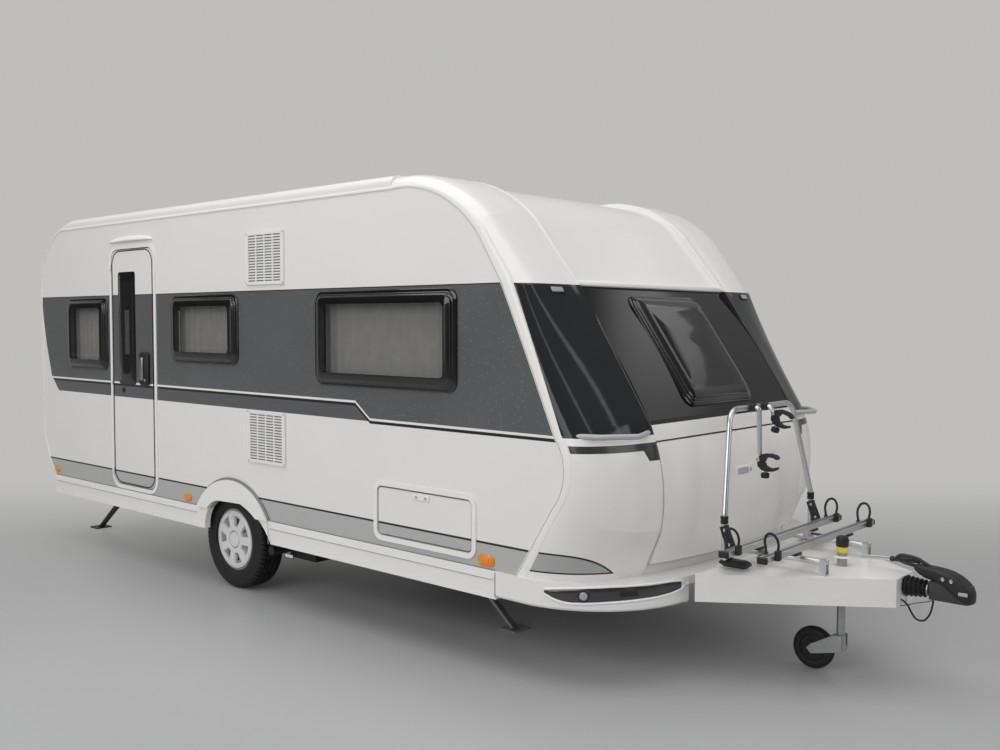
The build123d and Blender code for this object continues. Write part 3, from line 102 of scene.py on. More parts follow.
camera.rotation_quaternion = Matrix((across, upward, -ahead)).transposed().to_quaternion()
camera.location = VIEW_PLACE
bpy.context.scene.camera = camera
print("camera at", tuple(camera.location))

# %% [markdown]
# ## Floor, wall and light
# A grey studio floor with a soft sheen and a pale grey wall behind, joined by a cove so
# that no hard line crosses the picture. Three wide panels, one overhead and two at the
# sides, and the world's even glow give the soft light of a showroom. They are no part of
# the object.

# %% Stage
scene = bpy.context.scene
scene.view_settings.view_transform = "Standard"


def node(tree, kind, links=None, **settings):
    """A shader node: settings are its options, links its sockets, by value or from a socket."""
    made = tree.nodes.new(kind)
    for key, value in settings.items():
        setattr(made, key, value)
    for key, value in (links or {}).items():
        if isinstance(value, bpy.types.NodeSocket):
            tree.links.new(value, made.inputs[key])
        else:
            made.inputs[key].default_value = value
    return made


world = bpy.data.worlds.new("studio")
scene.world = world
world.use_nodes = True
sky = world.node_tree
glow = sky.nodes["Background"]
glow.inputs["Color"].default_value = (0.88, 0.87, 0.86, 1)
glow.inputs["Strength"].default_value = 0.62
# Gloss sees a darker hall: a dim wall all round and rows of lamps in the ceiling
sky_place = node(sky, "ShaderNodeTexCoord")
sky_axes = node(sky, "ShaderNodeSeparateXYZ", {"Vector": sky_place.outputs["Generated"]})
rows_of_lamps = node(sky, "ShaderNodeTexWave", {"Vector": sky_place.outputs["Generated"], "Scale": 0.55,
                                                "Distortion": 0.8},
                     bands_direction="Y")
hall = node(sky, "ShaderNodeValToRGB", {"Fac": sky_axes.outputs["Z"]})
for index, (height, tone) in enumerate([(0.0, 0.10), (0.12, 0.03), (0.35, 0.05), (0.75, 0.22)]):
    stop = hall.color_ramp.elements[index] if index < 2 else hall.color_ramp.elements.new(height)
    stop.position, stop.color = height, (tone, tone, tone, 1)
lamps_tone = node(sky, "ShaderNodeMapRange", {"Value": rows_of_lamps.outputs["Fac"], "From Min": 0.93,
                                              "From Max": 0.985, "To Min": 0.75, "To Max": 9.0})
dim = node(sky, "ShaderNodeBackground", {"Color": hall.outputs["Color"],
                                         "Strength": lamps_tone.outputs["Result"]})
sky_rays = node(sky, "ShaderNodeLightPath")
pick_sky = node(sky, "ShaderNodeMixShader", {0: sky_rays.outputs["Is Glossy Ray"], 1: glow.outputs[0],
                                             2: dim.outputs[0]})
sky.links.new(pick_sky.outputs[0], sky.nodes["World Output"].inputs["Surface"])


def panel_light(name, place, aim, size, power):
    """A wide soft lamp at a place, aimed at a point."""
    lamp = bpy.data.lights.new(name, "AREA")
    lamp.shape, lamp.size, lamp.size_y, lamp.energy = "RECTANGLE", size[0], size[1], power
    made = bpy.data.objects.new(name, lamp)
    scene.collection.objects.link(made)
    made.location = place
    made.rotation_mode = "QUATERNION"
    made.rotation_quaternion = (Vector(aim) - Vector(place)).to_track_quat("-Z", "Y")


panel_light("ceiling", (0.5, -1.5, 6.5), (0, 0, 0), (9, 6), 205)
panel_light("door_side", (0.5, -9.0, 4.5), (-0.5, 0, 1.2), (9, 4), 265)
panel_light("front_side", (9.0, 1.5, 4.0), (1.5, 0, 1.2), (5, 3), 75)

FLOOR_START, FLOOR_END, COVE_ROUND, WALL_TOP, STAGE_HALF = -16, 9.0, 3, 14.0, 30
stage_mesh = bpy.data.meshes.new("studio")
cove_turns = [math.radians(9 * k) for k in range(1, 11)]
cove = [(FLOOR_START, 0.0), (FLOOR_END, 0.0)]
cove += [(FLOOR_END + COVE_ROUND * math.sin(a), COVE_ROUND - COVE_ROUND * math.cos(a)) for a in cove_turns]
cove += [(FLOOR_END + COVE_ROUND, WALL_TOP)]
verts = [(x, y, z) for y, z in cove for x in (-STAGE_HALF, STAGE_HALF)]
stage_mesh.from_pydata(verts, [], [(2 * k, 2 * k + 1, 2 * k + 3, 2 * k + 2) for k in range(len(cove) - 1)])
studio = bpy.data.objects.new("studio", stage_mesh)
scene.collection.objects.link(studio)
studio.rotation_euler = (0, 0, turn)
for face in stage_mesh.polygons:
    face.use_smooth = True
floor_paint = bpy.data.materials.new("studio_floor")
floor_paint.use_nodes = True
floor_tree = floor_paint.node_tree
surface = floor_tree.nodes["Principled BSDF"]
surface.inputs["Roughness"].default_value = 0.38
coords = node(floor_tree, "ShaderNodeTexCoord")
grain = node(floor_tree, "ShaderNodeTexNoise", {"Vector": coords.outputs["Object"], "Scale": 0.35,
                                                "Detail": 3.0})
shade = node(floor_tree, "ShaderNodeValToRGB", {"Fac": grain.outputs["Fac"]})
shade.color_ramp.elements[0].color = (0.40, 0.405, 0.41, 1)
shade.color_ramp.elements[1].color = (0.46, 0.465, 0.47, 1)
floor_tree.links.new(shade.outputs["Color"], surface.inputs["Base Color"])
# The wall glows at its written colour for the camera and through glass, dimmer for gloss,
# and lights nothing else
WALL_COLOUR, WALL_IN_GLOSS, WALL_FROM, WALL_FULL = (0.52, 0.515, 0.50, 1), 0.35, -0.8, 4.6
wall_glow = node(floor_tree, "ShaderNodeEmission", {"Color": WALL_COLOUR, "Strength": 1.0})
rays = node(floor_tree, "ShaderNodeLightPath")
soft = node(floor_tree, "ShaderNodeMath", {0: rays.outputs["Is Glossy Ray"], 1: WALL_IN_GLOSS},
            operation="MULTIPLY")
seen = node(floor_tree, "ShaderNodeMath", {0: rays.outputs["Is Camera Ray"], 1: soft.outputs[0]},
            operation="MAXIMUM")
seen = node(floor_tree, "ShaderNodeMath", {0: seen.outputs[0], 1: rays.outputs["Is Transmission Ray"]},
            operation="MAXIMUM")
place = node(floor_tree, "ShaderNodeSeparateXYZ", {"Vector": coords.outputs["Object"]})
depth = node(floor_tree, "ShaderNodeMapRange", {"Value": place.outputs["Y"], "From Min": WALL_FROM,
                                                "From Max": WALL_FULL},
             interpolation_type="SMOOTHSTEP")
share = node(floor_tree, "ShaderNodeMath", {0: seen.outputs[0], 1: depth.outputs["Result"]},
             operation="MULTIPLY")
blend = node(floor_tree, "ShaderNodeMixShader", {0: share.outputs[0], 1: surface.outputs[0],
                                                 2: wall_glow.outputs[0]})
floor_tree.links.new(blend.outputs[0], floor_tree.nodes["Material Output"].inputs["Surface"])
stage_mesh.materials.append(floor_paint)
print("stage made of", len(stage_mesh.polygons), "faces")

# %% [markdown]
# ## Finishes
# Every finish starts as one colour that drifts a little over the surface, with uneven gloss
# and a fine relief. Object coordinates are used, so the finish stays on a door or a lid when
# it swings. What is the same all over is set on the shader's own socket.

# %% Finish helper
finishes = {}


def finish(name, colour, drift=0.04, scale=3.0, rough=(0.25, 0.4), relief=0.02, relief_scale=60.0,
           metallic=0.0, coat=0.0, alpha=1.0, stretch=(1, 1, 1), spots=None):
    """A material whose colour, gloss and relief drift over the surface; spots adds a second colour."""
    made = bpy.data.materials.new(name)
    made.use_nodes = True
    tree = made.node_tree
    shader = tree.nodes["Principled BSDF"]
    coords = node(tree, "ShaderNodeTexCoord")
    placed = node(tree, "ShaderNodeMapping", {"Vector": coords.outputs["Object"], "Scale": stretch})
    broad = node(tree, "ShaderNodeTexNoise", {"Vector": placed.outputs["Vector"], "Scale": scale,
                                              "Detail": 5.0})
    fine = node(tree, "ShaderNodeTexNoise", {"Vector": placed.outputs["Vector"], "Scale": relief_scale,
                                             "Detail": 2.0})
    ramp = node(tree, "ShaderNodeValToRGB", {"Fac": broad.outputs["Fac"]})
    low, high = ramp.color_ramp.elements
    low.position, high.position = 0.3, 0.7
    low.color = (*[c * (1 - drift) for c in colour], 1)
    high.color = (*[min(1.0, c * (1 + drift)) for c in colour], 1)
    out = ramp.outputs["Color"]
    if spots:
        spot_colour, amount = spots
        pick = node(tree, "ShaderNodeMapRange", {"Value": fine.outputs["Fac"], "From Min": 0.62,
                                                 "From Max": 0.75, "To Max": amount})
        mixed = node(tree, "ShaderNodeMix", {0: pick.outputs["Result"], 6: out, 7: (*spot_colour, 1)},
                     data_type="RGBA")
        out = mixed.outputs[2]
    tree.links.new(out, shader.inputs["Base Color"])
    gloss = node(tree, "ShaderNodeMapRange", {"Value": broad.outputs["Fac"], "To Min": rough[0],
                                              "To Max": rough[1]})
    tree.links.new(gloss.outputs["Result"], shader.inputs["Roughness"])
    if relief:
        bump = node(tree, "ShaderNodeBump", {"Height": fine.outputs["Fac"], "Strength": relief,
                                             "Distance": 0.002})
        tree.links.new(bump.outputs["Normal"], shader.inputs["Normal"])
    shader.inputs["Metallic"].default_value = metallic
    shader.inputs["Coat Weight"].default_value = coat
    shader.inputs["Coat Roughness"].default_value = 0.06
    shader.inputs["Alpha"].default_value = alpha
    finishes[name] = made
    return made


# %% [markdown]
# ## The finishes of this caravan
# White painted aluminium and moulded plastic for the body, near-black acrylic for the
# panes, silvery anodised tube for the carrier, zinc-coated steel underneath with duller
# spots, and several kinds of black plastic and rubber. One table holds them all.

# %% Table of finishes
BODY_WHITE = (0.80, 0.785, 0.765)
BODY_GLOSS = dict(drift=0.012, scale=1.2, rough=(0.27, 0.31), relief=0.012, relief_scale=300, coat=0.25)
finish("white_paint", BODY_WHITE, **BODY_GLOSS)
finish("white_plastic", (0.80, 0.79, 0.77), drift=0.015, scale=2, rough=(0.32, 0.38), relief=0.03,
       relief_scale=400)
finish("white_trim", (0.83, 0.82, 0.80), drift=0.015, scale=2, rough=(0.3, 0.36), relief=0.02, relief_scale=400)
finish("frame_black", (0.008, 0.008, 0.009), drift=0.2, rough=(0.07, 0.16), relief=0.02, relief_scale=40,
       coat=0.5)
finish("pane_dark", (0.012, 0.014, 0.013), drift=0.1, rough=(0.02, 0.05), relief=0.02, relief_scale=4,
       alpha=0.44, coat=0.5)
finish("pane_end", (0.014, 0.016, 0.016), drift=0.1, rough=(0.02, 0.05), relief=0.02, relief_scale=4,
       alpha=0.72, coat=0.5)
finish("black_plastic", (0.014, 0.014, 0.015), drift=0.15, rough=(0.38, 0.55), relief=0.15, relief_scale=400)
finish("black_rubber", (0.011, 0.011, 0.011), drift=0.2, rough=(0.5, 0.7), relief=0.1, relief_scale=300)
finish("seal_black", (0.01, 0.01, 0.01), drift=0.1, rough=(0.45, 0.6), relief=0.05, relief_scale=200)
finish("grey_plastic", (0.42, 0.43, 0.43), drift=0.04, rough=(0.35, 0.5), relief=0.06, relief_scale=150)
finish("seal_grey", (0.20, 0.205, 0.21), drift=0.08, rough=(0.4, 0.55), relief=0.05, relief_scale=200)
finish("groove_grey", (0.40, 0.39, 0.40), drift=0.06, rough=(0.5, 0.6), relief=0.04, relief_scale=200)
# Painted shade: the dark strips laid in the grille slots
finish("slot_shade", (0.17, 0.17, 0.165), drift=0.2, rough=(0.6, 0.8), relief=0.1, relief_scale=300)
finish("zinc_steel", (0.46, 0.47, 0.475), drift=0.16, scale=9, rough=(0.32, 0.55), relief=0.12, relief_scale=60,
       metallic=0.85, spots=((0.26, 0.24, 0.22), 0.5))
finish("dark_steel", (0.06, 0.06, 0.062), drift=0.25, scale=8, rough=(0.4, 0.6), relief=0.12, relief_scale=80,
       metallic=0.5, spots=((0.16, 0.09, 0.05), 0.35))
finish("bare_steel", (0.55, 0.55, 0.56), drift=0.08, rough=(0.2, 0.35), relief=0.05, relief_scale=200,
       metallic=1.0)
finish("silver_tube", (0.66, 0.665, 0.67), drift=0.05, scale=12, rough=(0.24, 0.36), relief=0.06,
       relief_scale=300, metallic=0.9, stretch=(1, 0.08, 1))
finish("wheel_silver", (0.76, 0.76, 0.755), drift=0.03, rough=(0.25, 0.35), relief=0.04, relief_scale=200,
       metallic=0.12, coat=0.3)
finish("steel_wheel", (0.30, 0.31, 0.32), drift=0.12, rough=(0.35, 0.5), relief=0.06, relief_scale=100,
       metallic=0.4)
finish("orange_lens", (0.86, 0.25, 0.008), drift=0.08, rough=(0.08, 0.16), relief=0.25, relief_scale=260,
       coat=0.6)
finish("red_lens", (0.42, 0.012, 0.012), drift=0.1, rough=(0.06, 0.14), relief=0.25, relief_scale=220, coat=0.6)
finish("clear_lens", (0.36, 0.37, 0.38), drift=0.06, rough=(0.05, 0.12), relief=0.25, relief_scale=220,
       coat=0.6)
finish("smoked_lens", (0.03, 0.032, 0.035), drift=0.1, rough=(0.05, 0.12), relief=0.15, relief_scale=200,
       coat=0.6)
finish("yellow_ring", (0.78, 0.58, 0.02), drift=0.05, rough=(0.3, 0.45), relief=0.05, relief_scale=100)
finish("plate_blank", (0.72, 0.72, 0.70), drift=0.03, rough=(0.3, 0.4), relief=0.02, relief_scale=90)
finish("floor_ply", (0.055, 0.05, 0.045), drift=0.25, scale=4, rough=(0.6, 0.8), relief=0.2, relief_scale=30,
       stretch=(0.3, 3, 1), spots=((0.10, 0.09, 0.08), 0.5))
finish("curtain_cloth", (0.62, 0.61, 0.58), drift=0.06, scale=14, rough=(0.8, 0.95), relief=0.3,
       relief_scale=700)
print(len(finishes), "finishes")

# %% [markdown]
# ## Helpers for meshes
# Most fittings are made the same few ways: closed rings joined one after the other, a
# profile turned about an axis, a profile carried along a path, or a round tube bent with
# proper radii. Edges that turn sharply are marked sharp, so that the rest shades smooth.

# %% Mesh helpers
def piece(name, verts, faces, finish_names, body, sharp=38, slot=None, picks=None):
    """A mesh piece that rides on a body. picks gives each face its finish by number."""
    mesh = bpy.data.meshes.new(name)
    mesh.from_pydata([tuple(v) for v in verts], [], faces)
    names = [finish_names] if isinstance(finish_names, str) else finish_names
    for each in names:
        mesh.materials.append(finishes[each])
    if picks:
        for face, pick in zip(mesh.polygons, picks):
            face.material_index = pick
    shape = bmesh.new()
    shape.from_mesh(mesh)
    bmesh.ops.remove_doubles(shape, verts=shape.verts, dist=0.00002)
    bmesh.ops.recalc_face_normals(shape, faces=shape.faces)
    for face in shape.faces:
        face.smooth = True
    for edge in shape.edges:
        if len(edge.link_faces) != 2 or edge.calc_face_angle() > math.radians(sharp):
            edge.smooth = False
    shape.to_mesh(mesh)
    shape.free()
    made = bpy.data.objects.new(name, mesh)
    scene.collection.objects.link(made)
    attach(made, body)
    return made


class Bag:
    """Verts and faces of a piece that is made of several parts."""

    def __init__(self):
        self.verts, self.faces, self.picks = [], [], []

    def rings(self, rings, closed=True, caps=(True, True), pick=0):
        start, count = len(self.verts), len(rings[0])
        for ring in rings:
            self.verts += [Vector(p) for p in ring]
        for k in range(len(rings) - 1):
            for i in range(count if closed else count - 1):
                j = (i + 1) % count
                a, b = start + k * count, start + (k + 1) * count
                self.faces.append((a + i, a + j, b + j, b + i))
                self.picks.append(pick)
        if caps[0]:
            self.faces.append(tuple(start + i for i in range(count)))
            self.picks.append(pick)
        if caps[1]:
            self.faces.append(tuple(start + (len(rings) - 1) * count + i for i in range(count)))
            self.picks.append(pick)
        return self

    def box(self, low, high, round_off=0.002, pick=0):
        """A block with bevelled edges, made of rings of rounded rectangles."""
        (x0, y0, z0), (x1, y1, z1) = low, high
        r = min(round_off, (x1 - x0) / 3, (y1 - y0) / 3, (z1 - z0) / 3)
        rows = [(r, 0), (0, r), (0, z1 - z0 - r), (r, z1 - z0)]
        return self.rings([[((x0 + x1) / 2 + u, (y0 + y1) / 2 + v, z0 + rise) for u, v in
                            rounded(x1 - x0 - 2 * inset, y1 - y0 - 2 * inset, r, 3)] for inset, rise in rows],
                          pick=pick)

    def turned(self, profile, origin, axis, steps=24, pick=0, hollow=False):
        """Rows of (along the axis, radius) turned about an axis; hollow closes them on themselves as a ring."""
        axis = Vector(axis).normalized()
        side = axis.orthogonal().normalized()
        other = axis.cross(side)
        rings = [[Vector(origin) + axis * a + (side * math.cos(2 * math.pi * i / steps)
                 + other * math.sin(2 * math.pi * i / steps)) * r for i in range(steps)] for a, r in profile]
        if hollow:
            rings.append(rings[0])
        return self.rings(rings, caps=(not hollow, not hollow), pick=pick)

    def carried(self, path, section, up=UP, pick=0, closed=False):
        """A closed section of (sideways, upward) points carried along a path."""
        rings = []
        for index, here in enumerate(path):
            before = path[index - 1] if index or closed else here
            after = path[(index + 1) % len(path)] if index < len(path) - 1 or closed else here
            ahead_here = (Vector(after) - Vector(before)).normalized()
            side = ahead_here.cross(Vector(up)).normalized()
            rise = side.cross(ahead_here)
            rings.append([Vector(here) + side * u + rise * v for u, v in section])
        if closed:
            rings.append(rings[0])
        return self.rings(rings, caps=(not closed, not closed), pick=pick)

    def tube(self, points, radius, bend=None, steps=14, pick=0, cap=0.6):
        """A round tube through points, its corners bent with a radius and its ends rounded."""
        path = bent(points, bend or radius * 3)
        rings, side = [], None
        for index, here in enumerate(path):
            before, after = path[max(index - 1, 0)], path[min(index + 1, len(path) - 1)]
            ahead_here = (after - before).normalized()
            side = ahead_here.orthogonal() if side is None else side - ahead_here * side.dot(ahead_here)
            side.normalize()
            other = ahead_here.cross(side)
            rings.append((here, ahead_here, [side * math.cos(2 * math.pi * i / steps)
                                             + other * math.sin(2 * math.pi * i / steps)
                                             for i in range(steps)]))
        edge = radius * cap * 0.5
        first, last = rings[0], rings[-1]
        rows = [[first[0] + v * (radius - edge) for v in first[2]],
                [first[0] + first[1] * edge + v * radius for v in first[2]]]
        rows += [[here + v * radius for v in spokes] for here, _, spokes in rings[1:-1]]
        rows += [[last[0] - last[1] * edge + v * radius for v in last[2]],
                 [last[0] + v * (radius - edge) for v in last[2]]]
        return self.rings(rows, pick=pick)

    def make(self, name, finish_names, body, **more):
        return piece(name, self.verts, self.faces, finish_names, body, picks=self.picks, **more)


def rounded(width, height, radius, steps=5):
    """Points of a rounded rectangle about its centre."""
    radius = max(min(radius, width / 2 - 1e-4, height / 2 - 1e-4), 1e-4)
    out = []
    for quarter, (sx, sy) in enumerate([(1, 1), (-1, 1), (-1, -1), (1, -1)]):
        for k in range(steps + 1):
            a = math.radians(90 * quarter + 90 * k / steps)
            out.append((sx * (width / 2 - radius) + radius * math.cos(a),
                        sy * (height / 2 - radius) + radius * math.sin(a)))
    return out


def bent(points, radius, steps=6):
    """A path with its corners replaced by arcs."""
    points = [Vector(p) for p in points]
    path = [points[0]]
    for before, here, after in zip(points, points[1:], points[2:]):
        back, on = (before - here), (after - here)
        reach = min(radius, back.length * 0.45, on.length * 0.45)
        a, b = here + back.normalized() * reach, here + on.normalized() * reach
        for k in range(steps + 1):
            t = k / steps
            path.append(a * (1 - t) ** 2 + here * 2 * t * (1 - t) + b * t ** 2)
    return path + [points[-1]]


def arc_through(a, via, b, steps=16):
    """Points after a on the arc from a through via to b, in the side view."""
    ax, ay, bx, by, cx, cy = a.x, a.y, via.x, via.y, b.x, b.y
    d = 2 * (ax * (by - cy) + bx * (cy - ay) + cx * (ay - by))
    ux = ((ax ** 2 + ay ** 2) * (by - cy) + (bx ** 2 + by ** 2) * (cy - ay)
          + (cx ** 2 + cy ** 2) * (ay - by)) / d
    uy = ((ax ** 2 + ay ** 2) * (cx - bx) + (bx ** 2 + by ** 2) * (ax - cx)
          + (cx ** 2 + cy ** 2) * (bx - ax)) / d
    centre = Vector((ux, uy))
    first, middle, last = (math.atan2(*reversed(p - centre)) for p in (a, via, b))
    sweep = (last - first) % (2 * math.pi)
    if (middle - first) % (2 * math.pi) > sweep:
        sweep -= 2 * math.pi
    radius = (a - centre).length
    return [centre + Vector((math.cos(first + sweep * k / steps), math.sin(first + sweep * k / steps))) * radius
            for k in range(1, steps + 1)]


def whole_arc(points, steps):
    """The arc through three points, its first point too."""
    return [points[0]] + arc_through(*points, steps)


def traced(start, rows):
    """A side-view outline of lines and arcs, from shares, as points."""
    here = spot(start)
    path = [here]
    for via, end in rows:
        path += [spot(end)] if via is None else arc_through(here, spot(via), spot(end))
        here = path[-1]
    return path


def wear(names, finish_name):
    """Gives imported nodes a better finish."""
    for each in names.split():
        nodes[each].data.materials.clear()
        nodes[each].data.materials.append(finishes[finish_name])


# %% [markdown]
# ## Side walls: white sheet with foil stripes
# The side is one painted sheet. A dark grey foil with fine sparkle runs at window height,
# a white pinstripe follows its lower edge and steps down near the front, and a pale grey
# foil with a black line runs above the sill. The foils are drawn by the paint's own
# shader, from lines given in object coordinates, so that the door's share of the band
# swings with the door.

# %% Body paint with its foils
BAND_TOP, BAND_FOOT, SILL_TOP = 1.915, 1.186, 0.637
BAND_REAR = [(-2.560, 1.94), (-2.528, 1.738), (-2.484, 1.539), (-2.406, 1.302), (-2.306, 1.202),
             (-2.270, 1.172)]
PIN_HIGH, PIN_LOW, PIN_STEP = 1.287, 1.196, (1.300, 1.423)
PAINT_EDGE = 0.0007


def paint_tools(tree):
    """Three helpers for one shader: a sum, a mask with a crisp edge, and a layer of colour."""
    def calc(kind, a, b=0.0):
        return node(tree, "ShaderNodeMath", {0: a, 1: b}, operation=kind).outputs[0]

    def mask(distance):
        return node(tree, "ShaderNodeMapRange", {"Value": distance, "From Min": -PAINT_EDGE,
                                                 "From Max": PAINT_EDGE}).outputs[0]

    def layer(base, where, colour):
        return node(tree, "ShaderNodeMix", {0: where, 6: base, 7: colour}, data_type="RGBA").outputs[2]

    return calc, mask, layer


def striped_paint(name, banded=True):
    """White body paint with the sill foil, and the window band with its stripes where banded."""
    made = finish(name, BODY_WHITE, **BODY_GLOSS)
    tree = made.node_tree
    shader = tree.nodes["Principled BSDF"]
    coords = node(tree, "ShaderNodeTexCoord")
    xyz = node(tree, "ShaderNodeSeparateXYZ", {"Vector": coords.outputs["Object"]})
    x, z = xyz.outputs["X"], xyz.outputs["Z"]
    calc, mask, layer = paint_tools(tree)

    def past(p, q):
        """How far a point lies to the right of the line from p up or down to q."""
        px, pz, qx, qz = from_axle(p[0]), p[1], from_axle(q[0]), q[1]
        run = math.hypot(qx - px, qz - pz)
        nx, nz = -(qz - pz) / run, (qx - px) / run
        return calc("SUBTRACT", calc("ADD", calc("MULTIPLY", x, nx), calc("MULTIPLY", z, nz)), px * nx
                    + pz * nz)

    def least(*values):
        out = values[0]
        for value in values[1:]:
            out = calc("MINIMUM", out, value)
        return out

    paint = shader.inputs["Base Color"].links[0].from_socket
    sill = least(calc("SUBTRACT", SILL_TOP, z), calc("SUBTRACT", x, from_axle(-2.50)))
    paint = layer(paint, mask(calc("SUBTRACT", SILL_TOP + 0.011, z)), (0.006, 0.006, 0.006, 1))
    paint = layer(paint, mask(sill), (0.44, 0.445, 0.44, 1))
    if banded:
        rear = least(*[past(p, q) for p, q in zip(BAND_REAR, BAND_REAR[1:])])
        band = least(rear, calc("SUBTRACT", z, BAND_FOOT), calc("SUBTRACT", BAND_TOP, z))
        cells = node(tree, "ShaderNodeTexVoronoi", {"Vector": coords.outputs["Object"], "Scale": 85.0})
        chosen = node(tree, "ShaderNodeSeparateColor", {"Color": cells.outputs["Color"]})
        spark = calc("MULTIPLY", mask(calc("MULTIPLY", calc("SUBTRACT", 0.22, cells.outputs["Distance"]),
                                           0.01)),
                     calc("GREATER_THAN", chosen.outputs["Red"], 0.72))
        drift = node(tree, "ShaderNodeTexNoise", {"Vector": coords.outputs["Object"], "Scale": 2.5,
                                                  "Detail": 4.0})
        foil = node(tree, "ShaderNodeValToRGB", {"Fac": drift.outputs["Fac"]})
        foil.color_ramp.elements[0].color = (0.084, 0.090, 0.092, 1)
        foil.color_ramp.elements[1].color = (0.116, 0.123, 0.125, 1)
        foil_colour = layer(foil.outputs["Color"], calc("MULTIPLY", spark, 0.5), (0.36, 0.37, 0.38, 1))
        paint = layer(paint, mask(band), foil_colour)
        lower = least(rear, calc("SUBTRACT", PIN_HIGH, z), calc("SUBTRACT", z, BAND_FOOT),
                      calc("SUBTRACT", from_axle(PIN_STEP[0]), x))
        paint = layer(paint, mask(lower), (0.100, 0.102, 0.108, 1))
        fall = node(tree, "ShaderNodeMapRange", {"Value": x, "From Min": from_axle(PIN_STEP[0]),
                                                 "From Max": from_axle(PIN_STEP[1]), "To Min": PIN_HIGH,
                                                 "To Max": PIN_LOW}).outputs[0]
        off = calc("SUBTRACT", z, fall)
        shadow = least(rear, calc("SUBTRACT", 0.0145, calc("ABSOLUTE", calc("ADD", off, 0.008))))
        stripe = least(rear, calc("SUBTRACT", 0.0065, calc("ABSOLUTE", off)))
        paint = layer(paint, mask(shadow), (0.012, 0.012, 0.013, 1))
        paint = layer(paint, mask(stripe), (0.80, 0.80, 0.79, 1))
        line = least(rear, calc("SUBTRACT", 0.003, calc("ABSOLUTE", calc("SUBTRACT", z, BAND_TOP))))
        paint = layer(paint, mask(line), (0.02, 0.02, 0.02, 1))
    tree.links.new(paint, shader.inputs["Base Color"])


striped_paint("side_paint")
striped_paint("sill_paint", banded=False)
wear("side_wall_right side_wall_left door", "side_paint")
wear("service_flap", "sill_paint")
wear("roof_panel rear_wall rear_bumper front_top_panel shoulder_right shoulder_left", "white_paint")
wear("locker_lid front_bumper drawbar_cover", "white_paint")
wear("skirt_right skirt_left opening_frames", "white_trim")
wear("grilles roof_lights locker_box", "white_plastic")
wear("floor_pan", "floor_ply")
wear("chassis_frame axle steady_front_right steady_front_left", "zinc_steel")
wear("jockey_sleeve jockey_stem jockey_fork", "zinc_steel")
wear("steady_rear_right steady_rear_left coupling", "dark_steel")
wear("mover", "black_plastic")
wear("rim_right rim_left", "steel_wheel")
wear("tail_lamps", "red_lens")
wear("grab_handles", "grey_plastic")
wear("carrier_posts carrier_base carrier_rails carrier_hoop", "silver_tube")
print("packed nodes have their finishes")

# %% [markdown]
# ## Domed panes
# A caravan's window is a hinged acrylic dome: a flat lip, two small steps, a wide black
# border that curves outward, and a clear field that is only tinted. Rings of rounded
# rectangles with falling inset and rising height make that shape. Each pane stands
# where its plain solid is and replaces it.

# %% Panes
DOME_ROWS = [(0.0, 0.0, 0), (0.0, 0.007, 0), (0.004, 0.011, 0), (0.017, 0.012, 0), (0.021, 0.017, 0),
             (0.027, 0.0185, 0), (0.031, 0.025, 0), (0.040, 0.0285, 0), (0.060, 0.0320, 0), (0.074, 0.0340, 0),
             (0.078, 0.0335, 1), (0.100, 0.0345, 1), (0.140, 0.0355, 1), (0.190, 0.0358, 1)]
DOME_HEIGHT = 0.036


def dome_rings(bag, width, height, place, corner=0.06, deepest=DOME_HEIGHT):
    """Adds a domed pane; place turns (u, v, out) into the frame. Its middle closes with one face."""
    rings, last_pick = [], 0
    for inset, rise, pick in DOME_ROWS:
        if min(width, height) / 2 - inset < 0.03:
            break
        ring = [place(u, v, rise * deepest / DOME_HEIGHT) for u, v in
                rounded(width - 2 * inset, height - 2 * inset, max(corner - inset * 0.45, 0.02), 6)]
        if rings and pick != last_pick:
            bag.rings(rings, caps=(False, False), pick=last_pick)
            rings = rings[-1:]
        rings.append(ring)
        last_pick = pick
    bag.rings(rings, caps=(False, True), pick=last_pick)


WINDOWS = {"right": [(0.1450, 0.6462, 0.620, 0.530), (0.4259, 0.6630, 0.780, 0.445),
                     (0.7325, 0.6462, 1.130, 0.530)],
           "left": [(0.2500, 0.6462, 0.780, 0.530), (0.7325, 0.6462, 1.130, 0.530)]}
for side, rows in WINDOWS.items():
    bag, sign = Bag(), SIDES[side]
    for station, rise, width, height in rows:
        centre = (along(station), rise * ROOF)
        dome_rings(bag, width, height, lambda u, v, out: (centre[0] + u, sign * (HALF + out), centre[1] + v))
    made = bag.make(f"panes_{side}", ["frame_black", "pane_dark"], "caravan", slot="window_dark")
    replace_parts(made, f"windows_{side}")
    print(side, "panes", len(bag.faces), "faces")

# %% [markdown]
# ## Curtains behind the panes
# Nothing of the furniture is made, but the tinted panes would show an empty shell. As in
# the photograph, pale curtains hang close behind them. Each is one gathered sheet: a flat
# cloth pushed into soft upright folds, deeper at both ends where the cloth is bunched.

# %% Curtains
FOLD_LENGTH, CURTAIN_BACK, CURTAIN_GAP = 0.062, 0.062, 0.03


